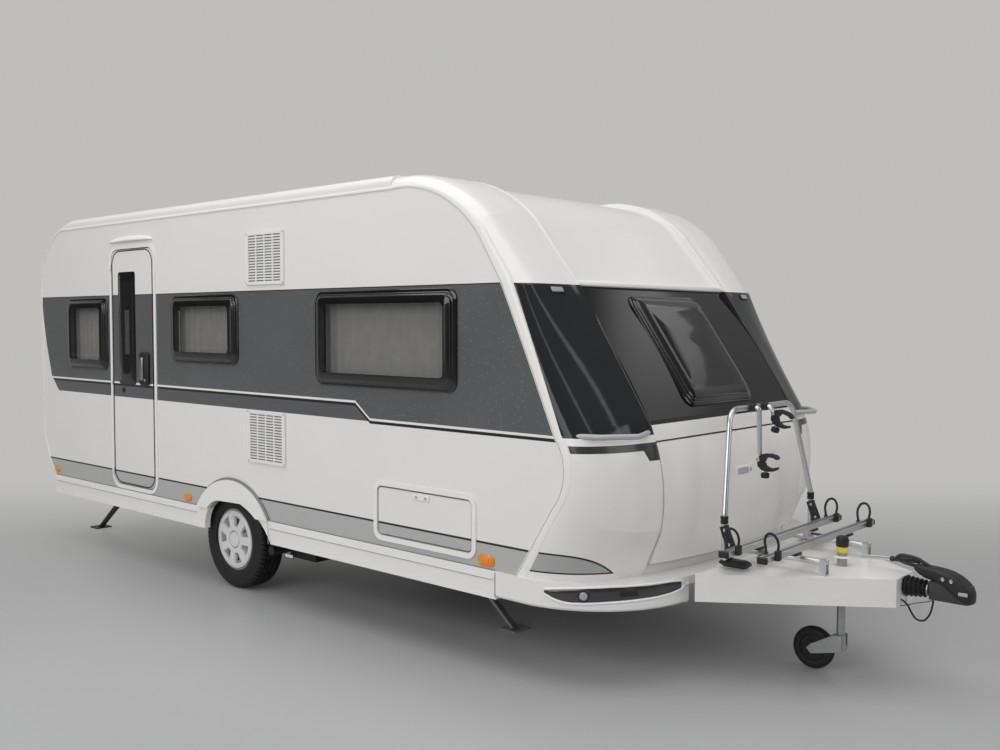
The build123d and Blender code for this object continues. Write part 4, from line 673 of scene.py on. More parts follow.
def curtain(name, centre, width, height, sign, seed):
    """A gathered sheet across a window, with its cut size measured along the folds."""
    rng = random.Random(seed)
    steps, rows = 150, 10
    phase = rng.uniform(0, 6)
    line = []
    for k in range(steps + 1):
        t = k / steps
        bunch = max(0.0, abs(t - 0.5) * 2 - 0.55) / 0.45
        depth = 0.0025 + 0.011 * bunch
        wave = math.sin(phase + t * width * 2 * math.pi / FOLD_LENGTH + 0.8 * math.sin(t * 9))
        line.append(((t - 0.5) * width, depth * wave))
    flat_width = sum(math.hypot(b[0] - a[0], b[1] - a[1]) for a, b in zip(line, line[1:]))
    verts = [(centre[0] + u, sign * (HALF - CURTAIN_BACK + w * (0.8 + 0.2 * r / rows)), centre[1]
              + (r / rows - 0.5) * height)
             for r in range(rows + 1) for u, w in line]
    count = steps + 1
    faces = [(r * count + k, r * count + k + 1, (r + 1) * count + k + 1, (r + 1) * count + k)
             for r in range(rows) for k in range(steps)]
    made = piece(name, verts, faces, "curtain_cloth", "caravan", sharp=180)
    return flat_width


for side, rows in WINDOWS.items():
    for number, (station, rise, width, height) in enumerate(rows):
        cut = curtain(f"curtain_{side}_{number + 1}", (along(station), rise * ROOF), width - CURTAIN_GAP,
                      height - CURTAIN_GAP, SIDES[side], 7 + number)
        print(side, number + 1, "curtain cut", round(cut, 3), "m wide")

# %% [markdown]
# ## The nose: grey gelcoat, white bands and foil ends
# The mouldings of the nose are grey around the front window and white below. The change
# follows heights over the floor, with a step where the corner meets the middle, so the
# paint's shader draws it, as it did the foils. The lower corners also carry a dark strip
# under the grab handle and the lens-shaped end of the sill foil.

# %% Nose paint
NO_GREY = 9.0
STRIP_TOP, STRIP_FOOT, STRIP_END = 1.162, 1.128, 1.146
TAB_FOOT, TAB_END, TAB_FROM, TAB_LEAN = 1.078, 0.800, 1.081, 0.55
TIP_TOP, TIP_FOOT, TIP_LENGTH, TIP_FALL = 0.640, 0.556, 0.215, 0.085


def nose_paint(name, grey_foot, tone=1.0, strip=False):
    """Grey above grey_foot and white below; strip adds the dark strip and the foil's end."""
    made = finish(name, BODY_WHITE, drift=0.012, scale=1.2, rough=(0.2, 0.28), relief=0.0, coat=0.12)
    tree = made.node_tree
    shader = tree.nodes["Principled BSDF"]
    coords = node(tree, "ShaderNodeTexCoord")
    xyz = node(tree, "ShaderNodeSeparateXYZ", {"Vector": coords.outputs["Object"]})
    y, z = node(tree, "ShaderNodeMath", {0: xyz.outputs["Y"]},
                operation="ABSOLUTE").outputs[0], xyz.outputs["Z"]
    calc, mask, layer = paint_tools(tree)
    paint = shader.inputs["Base Color"].links[0].from_socket
    drift = node(tree, "ShaderNodeTexNoise", {"Vector": coords.outputs["Object"], "Scale": 1.5, "Detail": 3.0})
    grey = node(tree, "ShaderNodeValToRGB", {"Fac": drift.outputs["Fac"]})
    grey.color_ramp.elements[0].color = (0.016 * tone, 0.018 * tone, 0.020 * tone, 1)
    grey.color_ramp.elements[1].color = (0.024 * tone, 0.026 * tone, 0.029 * tone, 1)
    above = mask(calc("SUBTRACT", z, grey_foot))
    paint = layer(paint, above, grey.outputs["Color"])
    gloss = node(tree, "ShaderNodeMapRange", {"Value": above, "To Min": 0.26, "To Max": 0.09})
    tree.links.new(gloss.outputs["Result"], shader.inputs["Roughness"])
    shine = node(tree, "ShaderNodeMapRange", {"Value": above, "To Min": 0.5, "To Max": 0.32})
    tree.links.new(shine.outputs["Result"], shader.inputs["Specular IOR Level"])
    if strip:
        long_strip = calc("MINIMUM", calc("SUBTRACT", STRIP_TOP, z), calc("SUBTRACT", z, STRIP_FOOT))
        long_strip = calc("MINIMUM", long_strip, calc("SUBTRACT", STRIP_END, y))
        # The tab at the strip's inner end leans, so its outer edge moves with the height
        lean = calc("ADD", calc("MULTIPLY", calc("SUBTRACT", z, TAB_FROM), TAB_LEAN), TAB_END)
        tab = calc("MINIMUM", calc("MINIMUM", calc("SUBTRACT", STRIP_TOP, z), calc("SUBTRACT", z, TAB_FOOT)),
                   calc("SUBTRACT", lean, y))
        paint = layer(paint, mask(calc("MAXIMUM", long_strip, tab)), (0.045, 0.045, 0.043, 1))
        # The foil thins out toward the middle: its top falls with the square of the way from the side
        way = calc("DIVIDE", calc("SUBTRACT", HALF, y), TIP_LENGTH)
        top = calc("SUBTRACT", TIP_TOP, calc("MULTIPLY", calc("MULTIPLY", way, way), TIP_FALL))
        outline = calc("MINIMUM", calc("SUBTRACT", calc("ADD", top, 0.009), z), calc("SUBTRACT", z, 0.548))
        foil = calc("MINIMUM", calc("SUBTRACT", top, z), calc("SUBTRACT", z, TIP_FOOT))
        paint = layer(paint, mask(outline), (0.012, 0.012, 0.012, 1))
        paint = layer(paint, mask(foil), (0.38, 0.385, 0.38, 1))
    tree.links.new(paint, shader.inputs["Base Color"])


nose_paint("corner_paint", 1.196)
nose_paint("nose_paint", 1.238, tone=0.35)
nose_paint("foot_paint", NO_GREY, strip=True)
wear("corner_right corner_left", "corner_paint")
wear("front_wall", "nose_paint")
wear("lower_corner_right lower_corner_left", "foot_paint")
print("nose painted")

# %% [markdown]
# ## Rails round the side walls
# Each side sheet ends under a white rail. Along the roof and the back it is a narrow bead;
# along the front edge it widens to a band over the joint with the corner moulding. A fine
# grey line along its inner edge is painted shade, the shadow line inside the rail. The rail
# is one section carried along the side wall's own outline, and its width is read from a
# short table by height.

# %% Edge rails
SIDE_START = (0.0440, SKIRT_TOP / ROOF)
SIDE_OUTLINE = [((0.0191, 0.2767), (0.0089, 0.3676)), (None, (0.0092, 0.7510)),
                ((0.0271, 0.8933), (0.0723, 0.9605)), (None, (0.7458, 0.9605)),
                ((0.8167, 0.9312), (0.8596, 0.8502)), (None, (0.8864, 0.7557)),
                ((0.9164, 0.6126), (0.9447, 0.4723)), ((0.9541, 0.4111), (0.9419, 0.3391)),
                (None, (0.9041, SKIRT_TOP / ROOF))]
RAIL_WIDTHS = [(0.50, 0.046), (0.80, 0.034), (1.20, 0.032), (1.60, 0.042), (1.93, 0.052), (2.20, 0.034),
               (2.42, 0.016)]


def read_table(rows, value):
    """The second column where the first has a value, between rows by straight lines."""
    for (a, low), (b, high) in zip(rows, rows[1:]):
        if value <= b:
            return low + (high - low) * max(0.0, min(1.0, (value - a) / (b - a)))
    return rows[-1][1]


def dense(path, step=0.04):
    """The path with long runs cut into short ones."""
    out = [path[0]]
    for a, b in zip(path, path[1:]):
        cuts = max(1, int((b - a).length / step))
        out += [a.lerp(b, k / cuts) for k in range(1, cuts + 1)]
    return out


def outline_frames(path):
    """For each point of a side-view path, the point and its outward direction."""
    rows = []
    for index, here in enumerate(path):
        run = path[min(index + 1, len(path) - 1)] - path[max(index - 1, 0)]
        rows.append((here, Vector((-run.y, run.x)).normalized()))
    return rows


side_outline = dense(traced(SIDE_START, SIDE_OUTLINE))
for side, sign in SIDES.items():
    bag = Bag()
    rows = outline_frames(side_outline)
    # The middle strip of the section, pick 1, is painted grey as the shadow line inside the rail
    for low, high, pick in [(0, 7, 0), (7, 9, 1), (9, 15, 0)]:
        rings = []
        for here, away in rows:
            front = here.x > along(0.78)
            width = read_table(RAIL_WIDTHS, here.y) if front else 0.012
            fall = 0.05 * width if front else 0.0
            section = [(-0.012, -0.008), (-0.012, 0.0012), (-0.0105, 0.0022), (-0.0085, 0.0022),
                       (-0.008, 0.0008),
                       (-0.007, 0.0008), (-0.0065, 0.0030), (-0.0060, 0.0034), (-0.0042, 0.0034),
                       (-0.0040, 0.0012),
                       (-0.0030, 0.0012), (-0.0028, 0.0036), (width * 0.5, 0.0044 - fall * 0.5),
                       (width - 0.003, 0.0036 - fall), (width, 0.0015 - fall), (width, -0.022)]
            rings.append([(here.x + away.x * u, sign * (HALF + out), here.y + away.y * u)
                          for u, out in section[low:high + 1]])
        bag.rings(rings, closed=False, caps=(False, False), pick=pick)
    bag.make(f"edge_rail_{side}", ["white_trim", "grey_plastic"], "caravan")
    print(side, "rail", len(bag.faces), "faces")

# %% [markdown]
# ## Ledge and marker lamps over the front window
# A moulded ledge covers the joint between the white top of the nose and the grey part, and
# a small clear marker lamp in a black frame sits under it at each corner. The lamp's box
# stands on the surface, so its axes come from the surface's own direction there.

# %% Ledge and marker lamps
def framed_box(bag, centre, out, up_dir, size, round_off=0.002, pick=0, corner=0.2):
    """A bevelled block of size (across, up, out) standing on a surface."""
    out = Vector(out).normalized()
    up_dir = (Vector(up_dir) - out * Vector(up_dir).dot(out)).normalized()
    side = up_dir.cross(out)
    width, height, depth = size
    rows = [(round_off, -depth * 0.5), (0, -depth * 0.5 + round_off), (0, depth * 0.5 - round_off),
            (round_off, depth * 0.5)]
    rings = [[Vector(centre) + side * u + up_dir * v + out * w for u, v in
              rounded(width - 2 * inset, height - 2 * inset, min(width, height) * corner, 3
                      + int(8 * (corner - 0.2)))]
             for inset, w in rows]
    bag.rings(rings, pick=pick)


bag = Bag()
ledge_x, ledge_z = along(0.9034), BAND_TOP
ledge_section = [(-0.010, 0.022), (0.008, 0.026), (0.016, 0.022), (0.020, 0.012), (0.020, 0.002),
                 (0.014, -0.004), (-0.004, -0.006), (-0.012, 0.000)]
bag.rings([[(ledge_x + u * grow, y, ledge_z + v * grow) for u, v in ledge_section]
           for y, grow in [(-0.729, 0.8), (-0.722, 1.0), (0.722, 1.0), (0.729, 0.8)]])
bag.make("nose_ledge", ["white_trim"], "caravan")
bag = Bag()
for sign in (RIGHT, LEFT):
    out = Vector((0.86, sign * 0.10, 0.50))
    centre = Vector((1.7525, sign * 0.925, 1.884))
    framed_box(bag, centre, out, UP, (0.092, 0.040, 0.014), pick=0)
    framed_box(bag, centre + out * 0.006, out, UP, (0.078, 0.027, 0.010), pick=1)
bag.make("marker_lamps", ["black_plastic", "clear_lens"], "caravan")
print("ledge", round(2 * 0.729, 3), "m wide")

# %% [markdown]
# ## Front, rear and door panes
# The rear pane stands on the flat back, and the door's narrow pane on the leaf. The front
# pane follows the slope of the nose, so its rings are placed along that arc. It is the
# same dome as before, given another way of placing its points.

# %% Other panes
FRONT_PANE_HEIGHT = 1.5825
nose_arc = whole_arc([spot(pair) for pair in ((0.9034, 0.7589), (0.9470, 0.6324), (0.9851, 0.4972))], 60)


def on_nose(height, out):
    """A point of the nose's middle at a height, moved out along the surface's normal."""
    for a, b in zip(nose_arc, nose_arc[1:]):
        if b.y <= height:
            here = a.lerp(b, (a.y - height) / (a.y - b.y))
            run = (b - a).normalized()
            return here.x - run.y * out, here.y + run.x * out
    return nose_arc[-1].x, nose_arc[-1].y


def front_place(u, v, out):
    """A point of the front pane, by its steps across, up and out from the pane's middle."""
    x, z = on_nose(FRONT_PANE_HEIGHT + v, out)
    return x, u, z


bag = Bag()
dome_rings(bag, 0.690, 0.565, front_place)
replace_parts(bag.make("front_pane", ["frame_black", "pane_end"], "caravan", slot="window_dark"), "front_window")
bag = Bag()
dome_rings(bag, 1.250, 0.530, lambda u, v, out: (REAR - out, u, 0.6462 * ROOF + v), deepest=0.038)
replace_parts(bag.make("rear_pane", ["frame_black", "pane_end"], "caravan", slot="window_dark"), "rear_window")
bag = Bag()
dome_rings(bag, 0.240, 0.800, lambda u, v, out: (-1.9805 + u, -1.154 - out, 1.680 + v), corner=0.022,
           deepest=0.010)
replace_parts(bag.make("door_pane", ["frame_black", "pane_end"], "door", slot="window_dark"), "door_window")
print("front, rear and door panes made")

# %% [markdown]
# ## Tyres with tread
# The solid tyre is smooth. Here its section is turned with four grooves round the tread,
# and the radius drops at every block's end, so the shoulder blocks stand out. Each tyre
# has 60 blocks round it, with finer cuts across the middle ribs.

# %% Tyres
TYRE_ROWS = [(-0.0725, 0.2005), (-0.086, 0.206), (-0.0935, 0.226), (-0.0945, 0.247), (-0.0930, 0.249),
             (-0.0925, 0.268),
             (-0.0890, 0.286), (-0.0880, 0.290), (-0.0845, 0.301), (-0.0765, 0.3095), (-0.0700, 0.3135),
             (-0.0500, 0.3165), (-0.0490, 0.3090), (-0.0420, 0.3090), (-0.0410, 0.3170), (-0.0200, 0.3178),
             (-0.0190, 0.3100), (-0.0120, 0.3100), (-0.0110, 0.3180)]
TYRE_ROWS += [(-y, r) for y, r in reversed(TYRE_ROWS)]
BLOCKS = 60
WHEEL_HEIGHT, WHEEL_MIDDLE, BEAD, BEAD_HALF = 0.318, 0.995, 0.2000, 0.072


def round_axle(spin, radius, sideways):
    """A point of a wheel, by its angle, its radius and its distance from the caravan's middle."""
    return AXLE + radius * math.sin(spin), sideways, WHEEL_HEIGHT + radius * math.cos(spin)


def tyre(name, sign, body, node_name):
    """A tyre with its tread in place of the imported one; gives its number of faces."""
    bag = Bag()
    spins = [(block + part) * 2 * math.pi / BLOCKS for block in range(BLOCKS)
             for part in (0.0, 0.66, 0.72, 0.94)]
    rings = []
    for across, radius in TYRE_ROWS:
        ring = []
        for index, spin in enumerate(spins):
            cut = 0.0
            if index % 4 in (2, 3) and radius > 0.299:
                cut = 0.0060 if abs(across) > 0.049 else (0.0025 if radius > 0.312 else 0.0)
            # Each rib's cuts are set a little further round than its neighbour's
            spin += 0.018 * math.sin(across * 60)
            ring.append(round_axle(spin, radius - cut, sign * (WHEEL_MIDDLE + across)))
        rings.append(ring)
    bag.rings(rings, caps=(False, False))
    inner = [[round_axle(spin, BEAD, sign * (WHEEL_MIDDLE + across)) for spin in spins]
             for across in (BEAD_HALF, -BEAD_HALF)]
    bag.rings([rings[-1], inner[0], inner[1], rings[0]], caps=(False, False))
    made = bag.make(name, ["black_rubber"], body, sharp=30)
    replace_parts(made, node_name)
    return len(bag.faces)


for side, sign in SIDES.items():
    print(side, "tyre", tyre(f"tread_{side}", sign, f"wheel_{side}", f"tyre_{side}"), "faces")

# %% [markdown]
# ## Wheel trims
# A pale plastic cover with seven windows lies in each rim. Its face is a net of rings and
# columns; the columns of a window follow its slanting sides, and its corners sink into a
# dark pocket. The cap in the middle is ringed and plain.

# %% Wheel trims
TRIM_ROWS = [(0.010, 0.0115, 0), (0.042, 0.0110, 0), (0.049, 0.0090, 0), (0.0505, 0.0030, 2),
             (0.0560, 0.0030, 2), (0.0575, 0.0085, 0),
             (0.064, 0.0100, 0), (0.080, 0.0110, 0), (0.087, 0.0100, 0), (0.090, -0.0100, 1),
             (0.122, -0.0110, 1),
             (0.155, -0.0100, 1), (0.158, 0.0085, 0), (0.162, 0.0100, 0), (0.170, 0.0090, 0),
             (0.177, 0.0050, 0),
             (0.180, 0.0065, 0), (0.184, 0.0060, 0), (0.187, 0.0010, 0), (0.186, -0.0160, 0),
             (0.150, -0.0200, 0), (0.030, -0.0200, 0)]
TRIM_FACE, TRIM_TURN, GAPS_ROUND = 1.0680, 0.2, 7
POCKET_START, POCKET_REACH = 0.087, 0.071


def trim(name, sign, body):
    """A wheel trim. plan lists the columns of one window: 0 and 1 are its sides, kind 1 is sunk."""
    bag = Bag()
    plan = [(-1.0, 0), (-0.55, 0), (0.0, 2), (0.10, 1), (0.5, 1), (0.90, 1), (1.0, 2), (1.55, 0)]
    count = GAPS_ROUND * len(plan)
    for radius, depth, deep in TRIM_ROWS:
        grow = max(0.0, min(1.0, (radius - POCKET_START) / POCKET_REACH))
        half = math.radians(10.0 + 6.5 * grow)
        for window in range(GAPS_ROUND):
            for place, kind in plan:
                if 0.0 <= place <= 1.0:
                    swing = (place * 2 - 1) * half
                else:
                    spare = math.pi / GAPS_ROUND - half
                    swing = -half - spare * (-place) if place < 0 else half + spare * (place - 1) * 0.9
                spin = window * 2 * math.pi / GAPS_ROUND + swing + TRIM_TURN
                level = depth if (deep != 1 or kind == 1) else 0.0100 - 0.0010 * (kind == 2)
                bag.verts.append(Vector(round_axle(spin, radius, sign * (TRIM_FACE + level))))
    for row in range(len(TRIM_ROWS) - 1):
        for column in range(count):
            after = (column + 1) % count
            bag.faces.append((row * count + column, row * count + after, (row + 1) * count + after,
                              (row + 1) * count + column))
            pair = {TRIM_ROWS[row][2], TRIM_ROWS[row + 1][2]}
            sunk = pair == {1} and plan[column % len(plan)][1] == 1 and plan[after % len(plan)][1] == 1
            bag.picks.append(1 if sunk else (2 if pair == {2} else 0))
    bag.faces += [tuple(range(count)), tuple((len(TRIM_ROWS) - 1) * count + k for k in range(count))]
    bag.picks += [0, 0]
    bag.make(name, ["wheel_silver", "black_rubber", "seal_grey"], body, sharp=28)


for side, sign in SIDES.items():
    trim(f"wheel_trim_{side}", sign, f"wheel_{side}")
print("trims have", len(TRIM_ROWS), "rings")

# %% [markdown]
# ## Lamps in the front bumper
# Each end of the bumper holds a long smoked lens that follows the bumper's arc, in a white
# moulded surround that runs on to a point toward the middle. Behind the lens is one round
# lamp. The lens is a row of upright sections along the arc, with heights from a table.

# %% Front lamps
LENS_INNER, LENS_OUTER = 0.655, 1.150
bumper_arc = whole_arc([Vector(p) for p in ((1.784, 1.165), (2.162, 0.972), (2.303, 0.650))], 90)
LENS_TABLE = [(0.655, 0.497, 0.463), (0.72, 0.504, 0.4535), (0.80, 0.505, 0.447), (0.90, 0.5045, 0.443),
              (1.00, 0.503, 0.437),
              (1.06, 0.498, 0.431), (1.11, 0.490, 0.427), (1.135, 0.483, 0.437), (1.150, 0.476, 0.462)]


def arc_at(y):
    """The bumper's outer line at a distance from the middle, with its outward direction."""
    for a, b in zip(bumper_arc, bumper_arc[1:]):
        if b.y <= y:
            here = a.lerp(b, (a.y - y) / (a.y - b.y))
            run = (b - a).normalized()
            return here, Vector((-run.y, run.x)) if -run.y > 0 else Vector((run.y, -run.x))
    return bumper_arc[-1], Vector((1, 0))


bag = Bag()
for sign in (RIGHT, LEFT):
    rings, top_line, low_line = [], [], []
    for k in range(45):
        y = LENS_INNER + (LENS_OUTER - LENS_INNER) * k / 44
        high = read_table([(a, b) for a, b, _ in LENS_TABLE], y)
        low = read_table([(a, c) for a, _, c in LENS_TABLE], y)
        here, away = arc_at(y)
        middle, half = (high + low) / 2, (high - low) / 2
        section = [(-0.012, -0.98), (0.001, -1.0), (0.0030, -0.86), (0.0048, -0.45), (0.0055, 0.0),
                   (0.0048, 0.45), (0.0030, 0.86), (0.001, 1.0), (-0.012, 0.98)]
        rings.append([(here.x + away.x * w, sign * (here.y + away.y * w), middle + half * v) for w,
                      v in section])
        top_line.append((here.x + away.x * 0.001, sign * (here.y + away.y * 0.001), high + 0.004))
        low_line.append((here.x + away.x * 0.001, sign * (here.y + away.y * 0.001), low - 0.005))
    bag.rings(rings, pick=0)
    # A white sill under the lens fills the bumper's recess down to its edge
    sill = []
    for k in range(31):
        here, away = arc_at(0.690 + 0.400 * k / 30)
        sill.append([(here.x + away.x * w, sign * (here.y + away.y * w), z)
                     for w, z in [(-0.010, 0.414), (0.0008, 0.414), (0.0008, 0.452), (-0.010, 0.452)]])
    bag.rings(sill, pick=1)
    # The surround runs on to a point toward the middle
    tail = [(2.3095 + (0.62 - y) * 0.15, sign * y, z) for y, z in [(0.60, 0.481), (0.62, 0.480)]]
    bag.tube(tail + top_line, 0.0055, steps=10, pick=1)
    bag.tube(tail + low_line, 0.0065, steps=10, pick=1)
    here, away = arc_at(1.075)
    out = Vector((away.x, sign * away.y, 0))
    spot_at = Vector((here.x, sign * here.y, 0.462))
    bag.turned([(0.0045, 0.027), (0.0072, 0.027), (0.0075, 0.023)], spot_at, out, 28, pick=3)
    bag.turned([(0.0060, 0.021), (0.0085, 0.018), (0.0095, 0.006)], spot_at, out, 28, pick=2)
    here, away = arc_at(0.93)
    framed_box(bag, Vector((here.x, sign * here.y, 0.474)) + Vector((away.x, sign * away.y, 0)) * 0.003,
               (away.x, sign * away.y, 0), UP, (0.090, 0.030, 0.006), pick=3)
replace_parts(bag.make("bumper_lamps", ["smoked_lens", "white_trim", "clear_lens", "black_plastic"], "caravan"),
            "front_lamps")
print("front lamps", len(bag.faces), "faces")

# %% [markdown]
# ## Small parts of the sides
# Orange markers along the skirt, a grey seal round each wheel arch, the grooves and joints
# of the skirt, and a blank plate on the manoeuvring drive. The left side repeats the right
# one, because the photograph shows one side only.

# %% Side details
for side, sign in SIDES.items():
    bag = Bag()
    for x, z, width, height in [(-3.120, 0.558, 0.080, 0.048), (-1.207, 0.557, 0.084, 0.050),
                                (1.500, 0.557, 0.112, 0.056)]:
        for grow, out in [(1.0, 0.003), (0.82, 0.007), (0.5, 0.010)]:
            framed_box(bag, (x, sign * (HALF + out), z), (0, sign, 0), UP, (width * grow, height * grow, 0.007),
                       0.002, pick=0, corner=0.499)
    arch = whole_arc([Vector(p) for p in ((-1.073, 0.516), (-0.690, 0.727), (-0.297, 0.516))], 40)
    bag.tube([(p.x, sign * 1.1560, p.y + 0.004) for p in arch], 0.0095, steps=10, pick=1)
    for first, last in [(-3.125, -1.085), (-0.285, 1.560)]:
        bag.tube([(first, sign * 1.1530, 0.5155), (last, sign * 1.1530, 0.5155)], 0.0030, steps=8, pick=1)
        bag.tube([(first + 0.02, sign * 1.1762, 0.4810), (last, sign * 1.1762, 0.4810)], 0.0028, steps=8,
                 pick=2)
        bag.tube([(first + 0.02, sign * 1.1758, 0.4745), (last, sign * 1.1758, 0.4745)], 0.0016, steps=8,
                 pick=4)
    bag.tube([(-0.276, sign * 1.1758, 0.510), (-0.276, sign * 1.1758, 0.380)], 0.0018, steps=8, pick=4)
    bag.tube([(1.5715, sign * 1.1650, 0.510), (1.5715, sign * 1.1650, 0.390)], 0.0020, steps=8, pick=3)
    if side == "right":
        framed_box(bag, (-0.705, -1.1700, 0.668), DOOR_OUT, UP, (0.052, 0.012, 0.006), 0.002, pick=3)
    framed_box(bag, (-0.215, sign * 1.0650, 0.297), (0, sign, 0), UP, (0.085, 0.030, 0.003), 0.001, pick=3)
    framed_box(bag, (-0.215, sign * 1.0670, 0.297), (0, sign, 0), UP, (0.075, 0.020, 0.002), 0.0008, pick=5)
    bag.make(f"side_trim_{side}", ["orange_lens", "seal_grey", "white_trim", "seal_black", "groove_grey",
                                   "plate_blank"], "caravan")
print("side details made")

# %% [markdown]
# ## Door and flap fittings
# The black pull handle carries a bare grip plate, and a round lock sits at the other edge
# of the door. The service flap hangs on four small hinges and closes with one lock. A
# slim light sits over the door.

# %% Door and flap
bag = Bag()
framed_box(bag, (-1.728, -1.166, 1.397), DOOR_OUT, UP, (0.118, 0.232, 0.026), 0.008, pick=0)
framed_box(bag, (-1.7455, -1.180, 1.398), DOOR_OUT, UP, (0.040, 0.160, 0.014), 0.005, pick=1)
framed_box(bag, (-1.694, -1.180, 1.398), DOOR_OUT, UP, (0.020, 0.150, 0.006), 0.003, pick=0)
bag.turned([(0, 0.0105), (0.006, 0.0105), (0.0075, 0.008), (0.0066, 0.004)], (-1.694, -1.181, 1.318), DOOR_OUT,
           20, pick=1)
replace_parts(bag.make("door_grip", ["black_plastic", "bare_steel"], "door"), "door_handle")
bag = Bag()
bag.turned([(0, 0.019), (0.003, 0.019), (0.0045, 0.016), (0.004, 0.009), (0.005, 0.008), (0.005, 0.002)],
           (-2.041, -1.154, 1.235), DOOR_OUT, 28)
for z in (0.64, 1.30, 2.12):
    bag.turned([(-0.028, 0.0065), (-0.026, 0.008), (0.026, 0.008), (0.028, 0.0065)], (-2.1935, -1.164, z), UP,
               16, pick=1)
seal = [(-1.9055 + u, -1.1545, 1.396 + v) for u, v in rounded(0.556, 1.668, 0.098, 8)]
bag.carried(seal, rounded(0.008, 0.005, 0.002, 2), up=(0, 1, 0), closed=True)
bag.make("door_fittings", ["black_plastic", "white_trim"], "door")
bag = Bag()
for x in (0.78, 0.96, 1.14, 1.32):
    bag.turned([(-0.002, 0.0065), (0.0015, 0.0065), (0.0025, 0.004)], (x, -1.150, 0.592), DOOR_OUT, 16, pick=1)
framed_box(bag, (1.041, -1.1525, 0.812), DOOR_OUT, UP, (0.120, 0.034, 0.006), 0.002, pick=0)
for x in (1.006, 1.076):
    bag.turned([(0, 0.0085), (0.003, 0.0085), (0.004, 0.006), (0.0032, 0.003)], (x, -1.155, 0.812), DOOR_OUT,
               22, pick=1)
bag.make("flap_fittings", ["white_trim", "grey_plastic"], "service_flap")
bag = Bag()
rings = []
for k in range(25):
    t = -1 + 2 * k / 24
    bow = math.sqrt(max(0.0, 1 - t * t))
    rings.append([(-1.914 + t * 0.29, -1.150 - w * (0.25 + 0.75 * bow), 2.292 + v * (0.35 + 0.65 * bow)) for w,
                  v in
                  [(0.0, 0.0), (0.024, 0.002), (0.030, 0.008), (0.028, 0.020), (0.014, 0.034), (0.0, 0.040)]])
bag.rings(rings)
bag.make("door_light", ["white_trim"], "caravan")
print("door fittings made")

# %% [markdown]
# ## Grille slots
# The fridge's two grilles are packed with real slots. A dark strip lies in each slot as
# painted shade, so that the slot reads dark, and four screws hold each grille.

# %% Grilles
bag = Bag()
for share in (0.4043, 0.8348):
    middle = (along(0.5464), share * ROOF)
    for column in range(4):
        for row in range(17):
            x, z = middle[0] + (column - 1.5) * 0.084, middle[1] + (row - 8) * 0.017
            # Each dark strip is painted shade at the bottom of a slot
            bag.box((x - 0.036, -1.1575, z - 0.0034), (x + 0.036, -1.1562, z + 0.0034), 0.0004, pick=0)
    for sx in (-1, 1):
        for sz in (-1, 1):
            bag.turned([(0, 0.0055), (0.0015, 0.0055), (0.0022, 0.003)],
                       (middle[0] + sx * 0.182, -1.162, middle[1] + sz * 0.150), DOOR_OUT, 14, pick=1)
bag.make("grille_shadows", ["slot_shade", "grey_plastic"], "caravan")
print("grilles have", len(bag.faces), "faces")

# %% [markdown]
# ## Bike carrier: collars, knuckles, straps and clamps
# The hoop's legs end in black collars and slanted knuckles. The two rails have black end
# caps, ribs along their sides and a looped strap with a buckle near each end. A rubber
# foot hangs under each end of the rear cross tube. All of it tilts with the carrier.

# %% Carrier fittings
RAILS = [(2.513, 0.620, 0.545), (2.703, 0.610, 0.525)]
bag = Bag()
for sign in (RIGHT, LEFT):
    y = sign * 0.470
    bag.turned([(-0.019, 0.0170), (-0.017, 0.0190), (-0.004, 0.0190), (-0.003, 0.0175), (0.003, 0.0175),
                (0.004, 0.0190), (0.017, 0.0190), (0.019, 0.0170)], (2.428, y, 0.782), UP, 24)
    knuckle = [(2.426, y, 0.752), (2.440, y, 0.716), (2.462, y, 0.664), (2.470, y, 0.640)]
    bag.carried(knuckle, rounded(0.034, 0.044, 0.008, 3), up=(0, 1, 0))
    for z in (0.735, 0.668):
        bag.turned([(-0.024, 0.006), (-0.022, 0.008), (0.022, 0.008), (0.024, 0.006)],
                   (2.432 + (0.752 - z) * 0.40, y, z), (0, 1, 0), 14, pick=1)
    framed_box(bag, (2.462, sign * 0.420, 0.5675), UP, (1, 0, 0), (0.070, 0.150, 0.036), 0.014, pick=0)
    for x, half, strap_y in RAILS:
        framed_box(bag, (x, sign * (half + 0.004), 0.651), (0, sign, 0), UP, (0.050, 0.031, 0.018), 0.004,
                   pick=0)
        loop = [(x - 0.026, sign * strap_y, 0.650)] + [
            (x - 0.034 * math.cos(math.radians(a)), sign * (strap_y + 0.010 * math.sin(math.radians(a))),
             0.715 + 0.048 * math.sin(math.radians(a)))
             for a in range(-20, 201, 11)] + [(x + 0.026, sign * strap_y, 0.650)]
        bag.carried(loop, rounded(0.013, 0.0035, 0.0015, 2), up=(0, 1, 0))
        bag.box((x + 0.020, sign * strap_y - 0.016, 0.640), (x + 0.044, sign * strap_y + 0.016, 0.688), 0.004)
        bag.box((x - 0.036, sign * strap_y - 0.012, 0.636), (x - 0.022, sign * strap_y + 0.012, 0.672), 0.003)
        bag.box((x - 0.028, sign * 0.300 - 0.030, 0.625), (x + 0.028, sign * 0.300 + 0.030, 0.6385), 0.003)
for x, half, strap_y in RAILS:
    for side in (-1, 1):
        for z in (0.6435, 0.6520, 0.6605):
            edge = x + side * 0.0228
            bag.box((edge - 0.0012, -half + 0.005, z - 0.0012), (edge + 0.0012, half - 0.005, z + 0.0012),
                    0.0006, pick=2)
bag.make("carrier_fittings", ["black_plastic", "bare_steel", "silver_tube"], "carrier")
print("carrier fittings", len(bag.faces), "faces")

# %% [markdown]
# ## Frame holders
# Two arms hang from the hoop on black clamps, one long and one short. Each ends in a
# two-jawed claw with a pivot and a star knob that tightens it. The claw is an outline in
# the side view, pushed out to both sides.

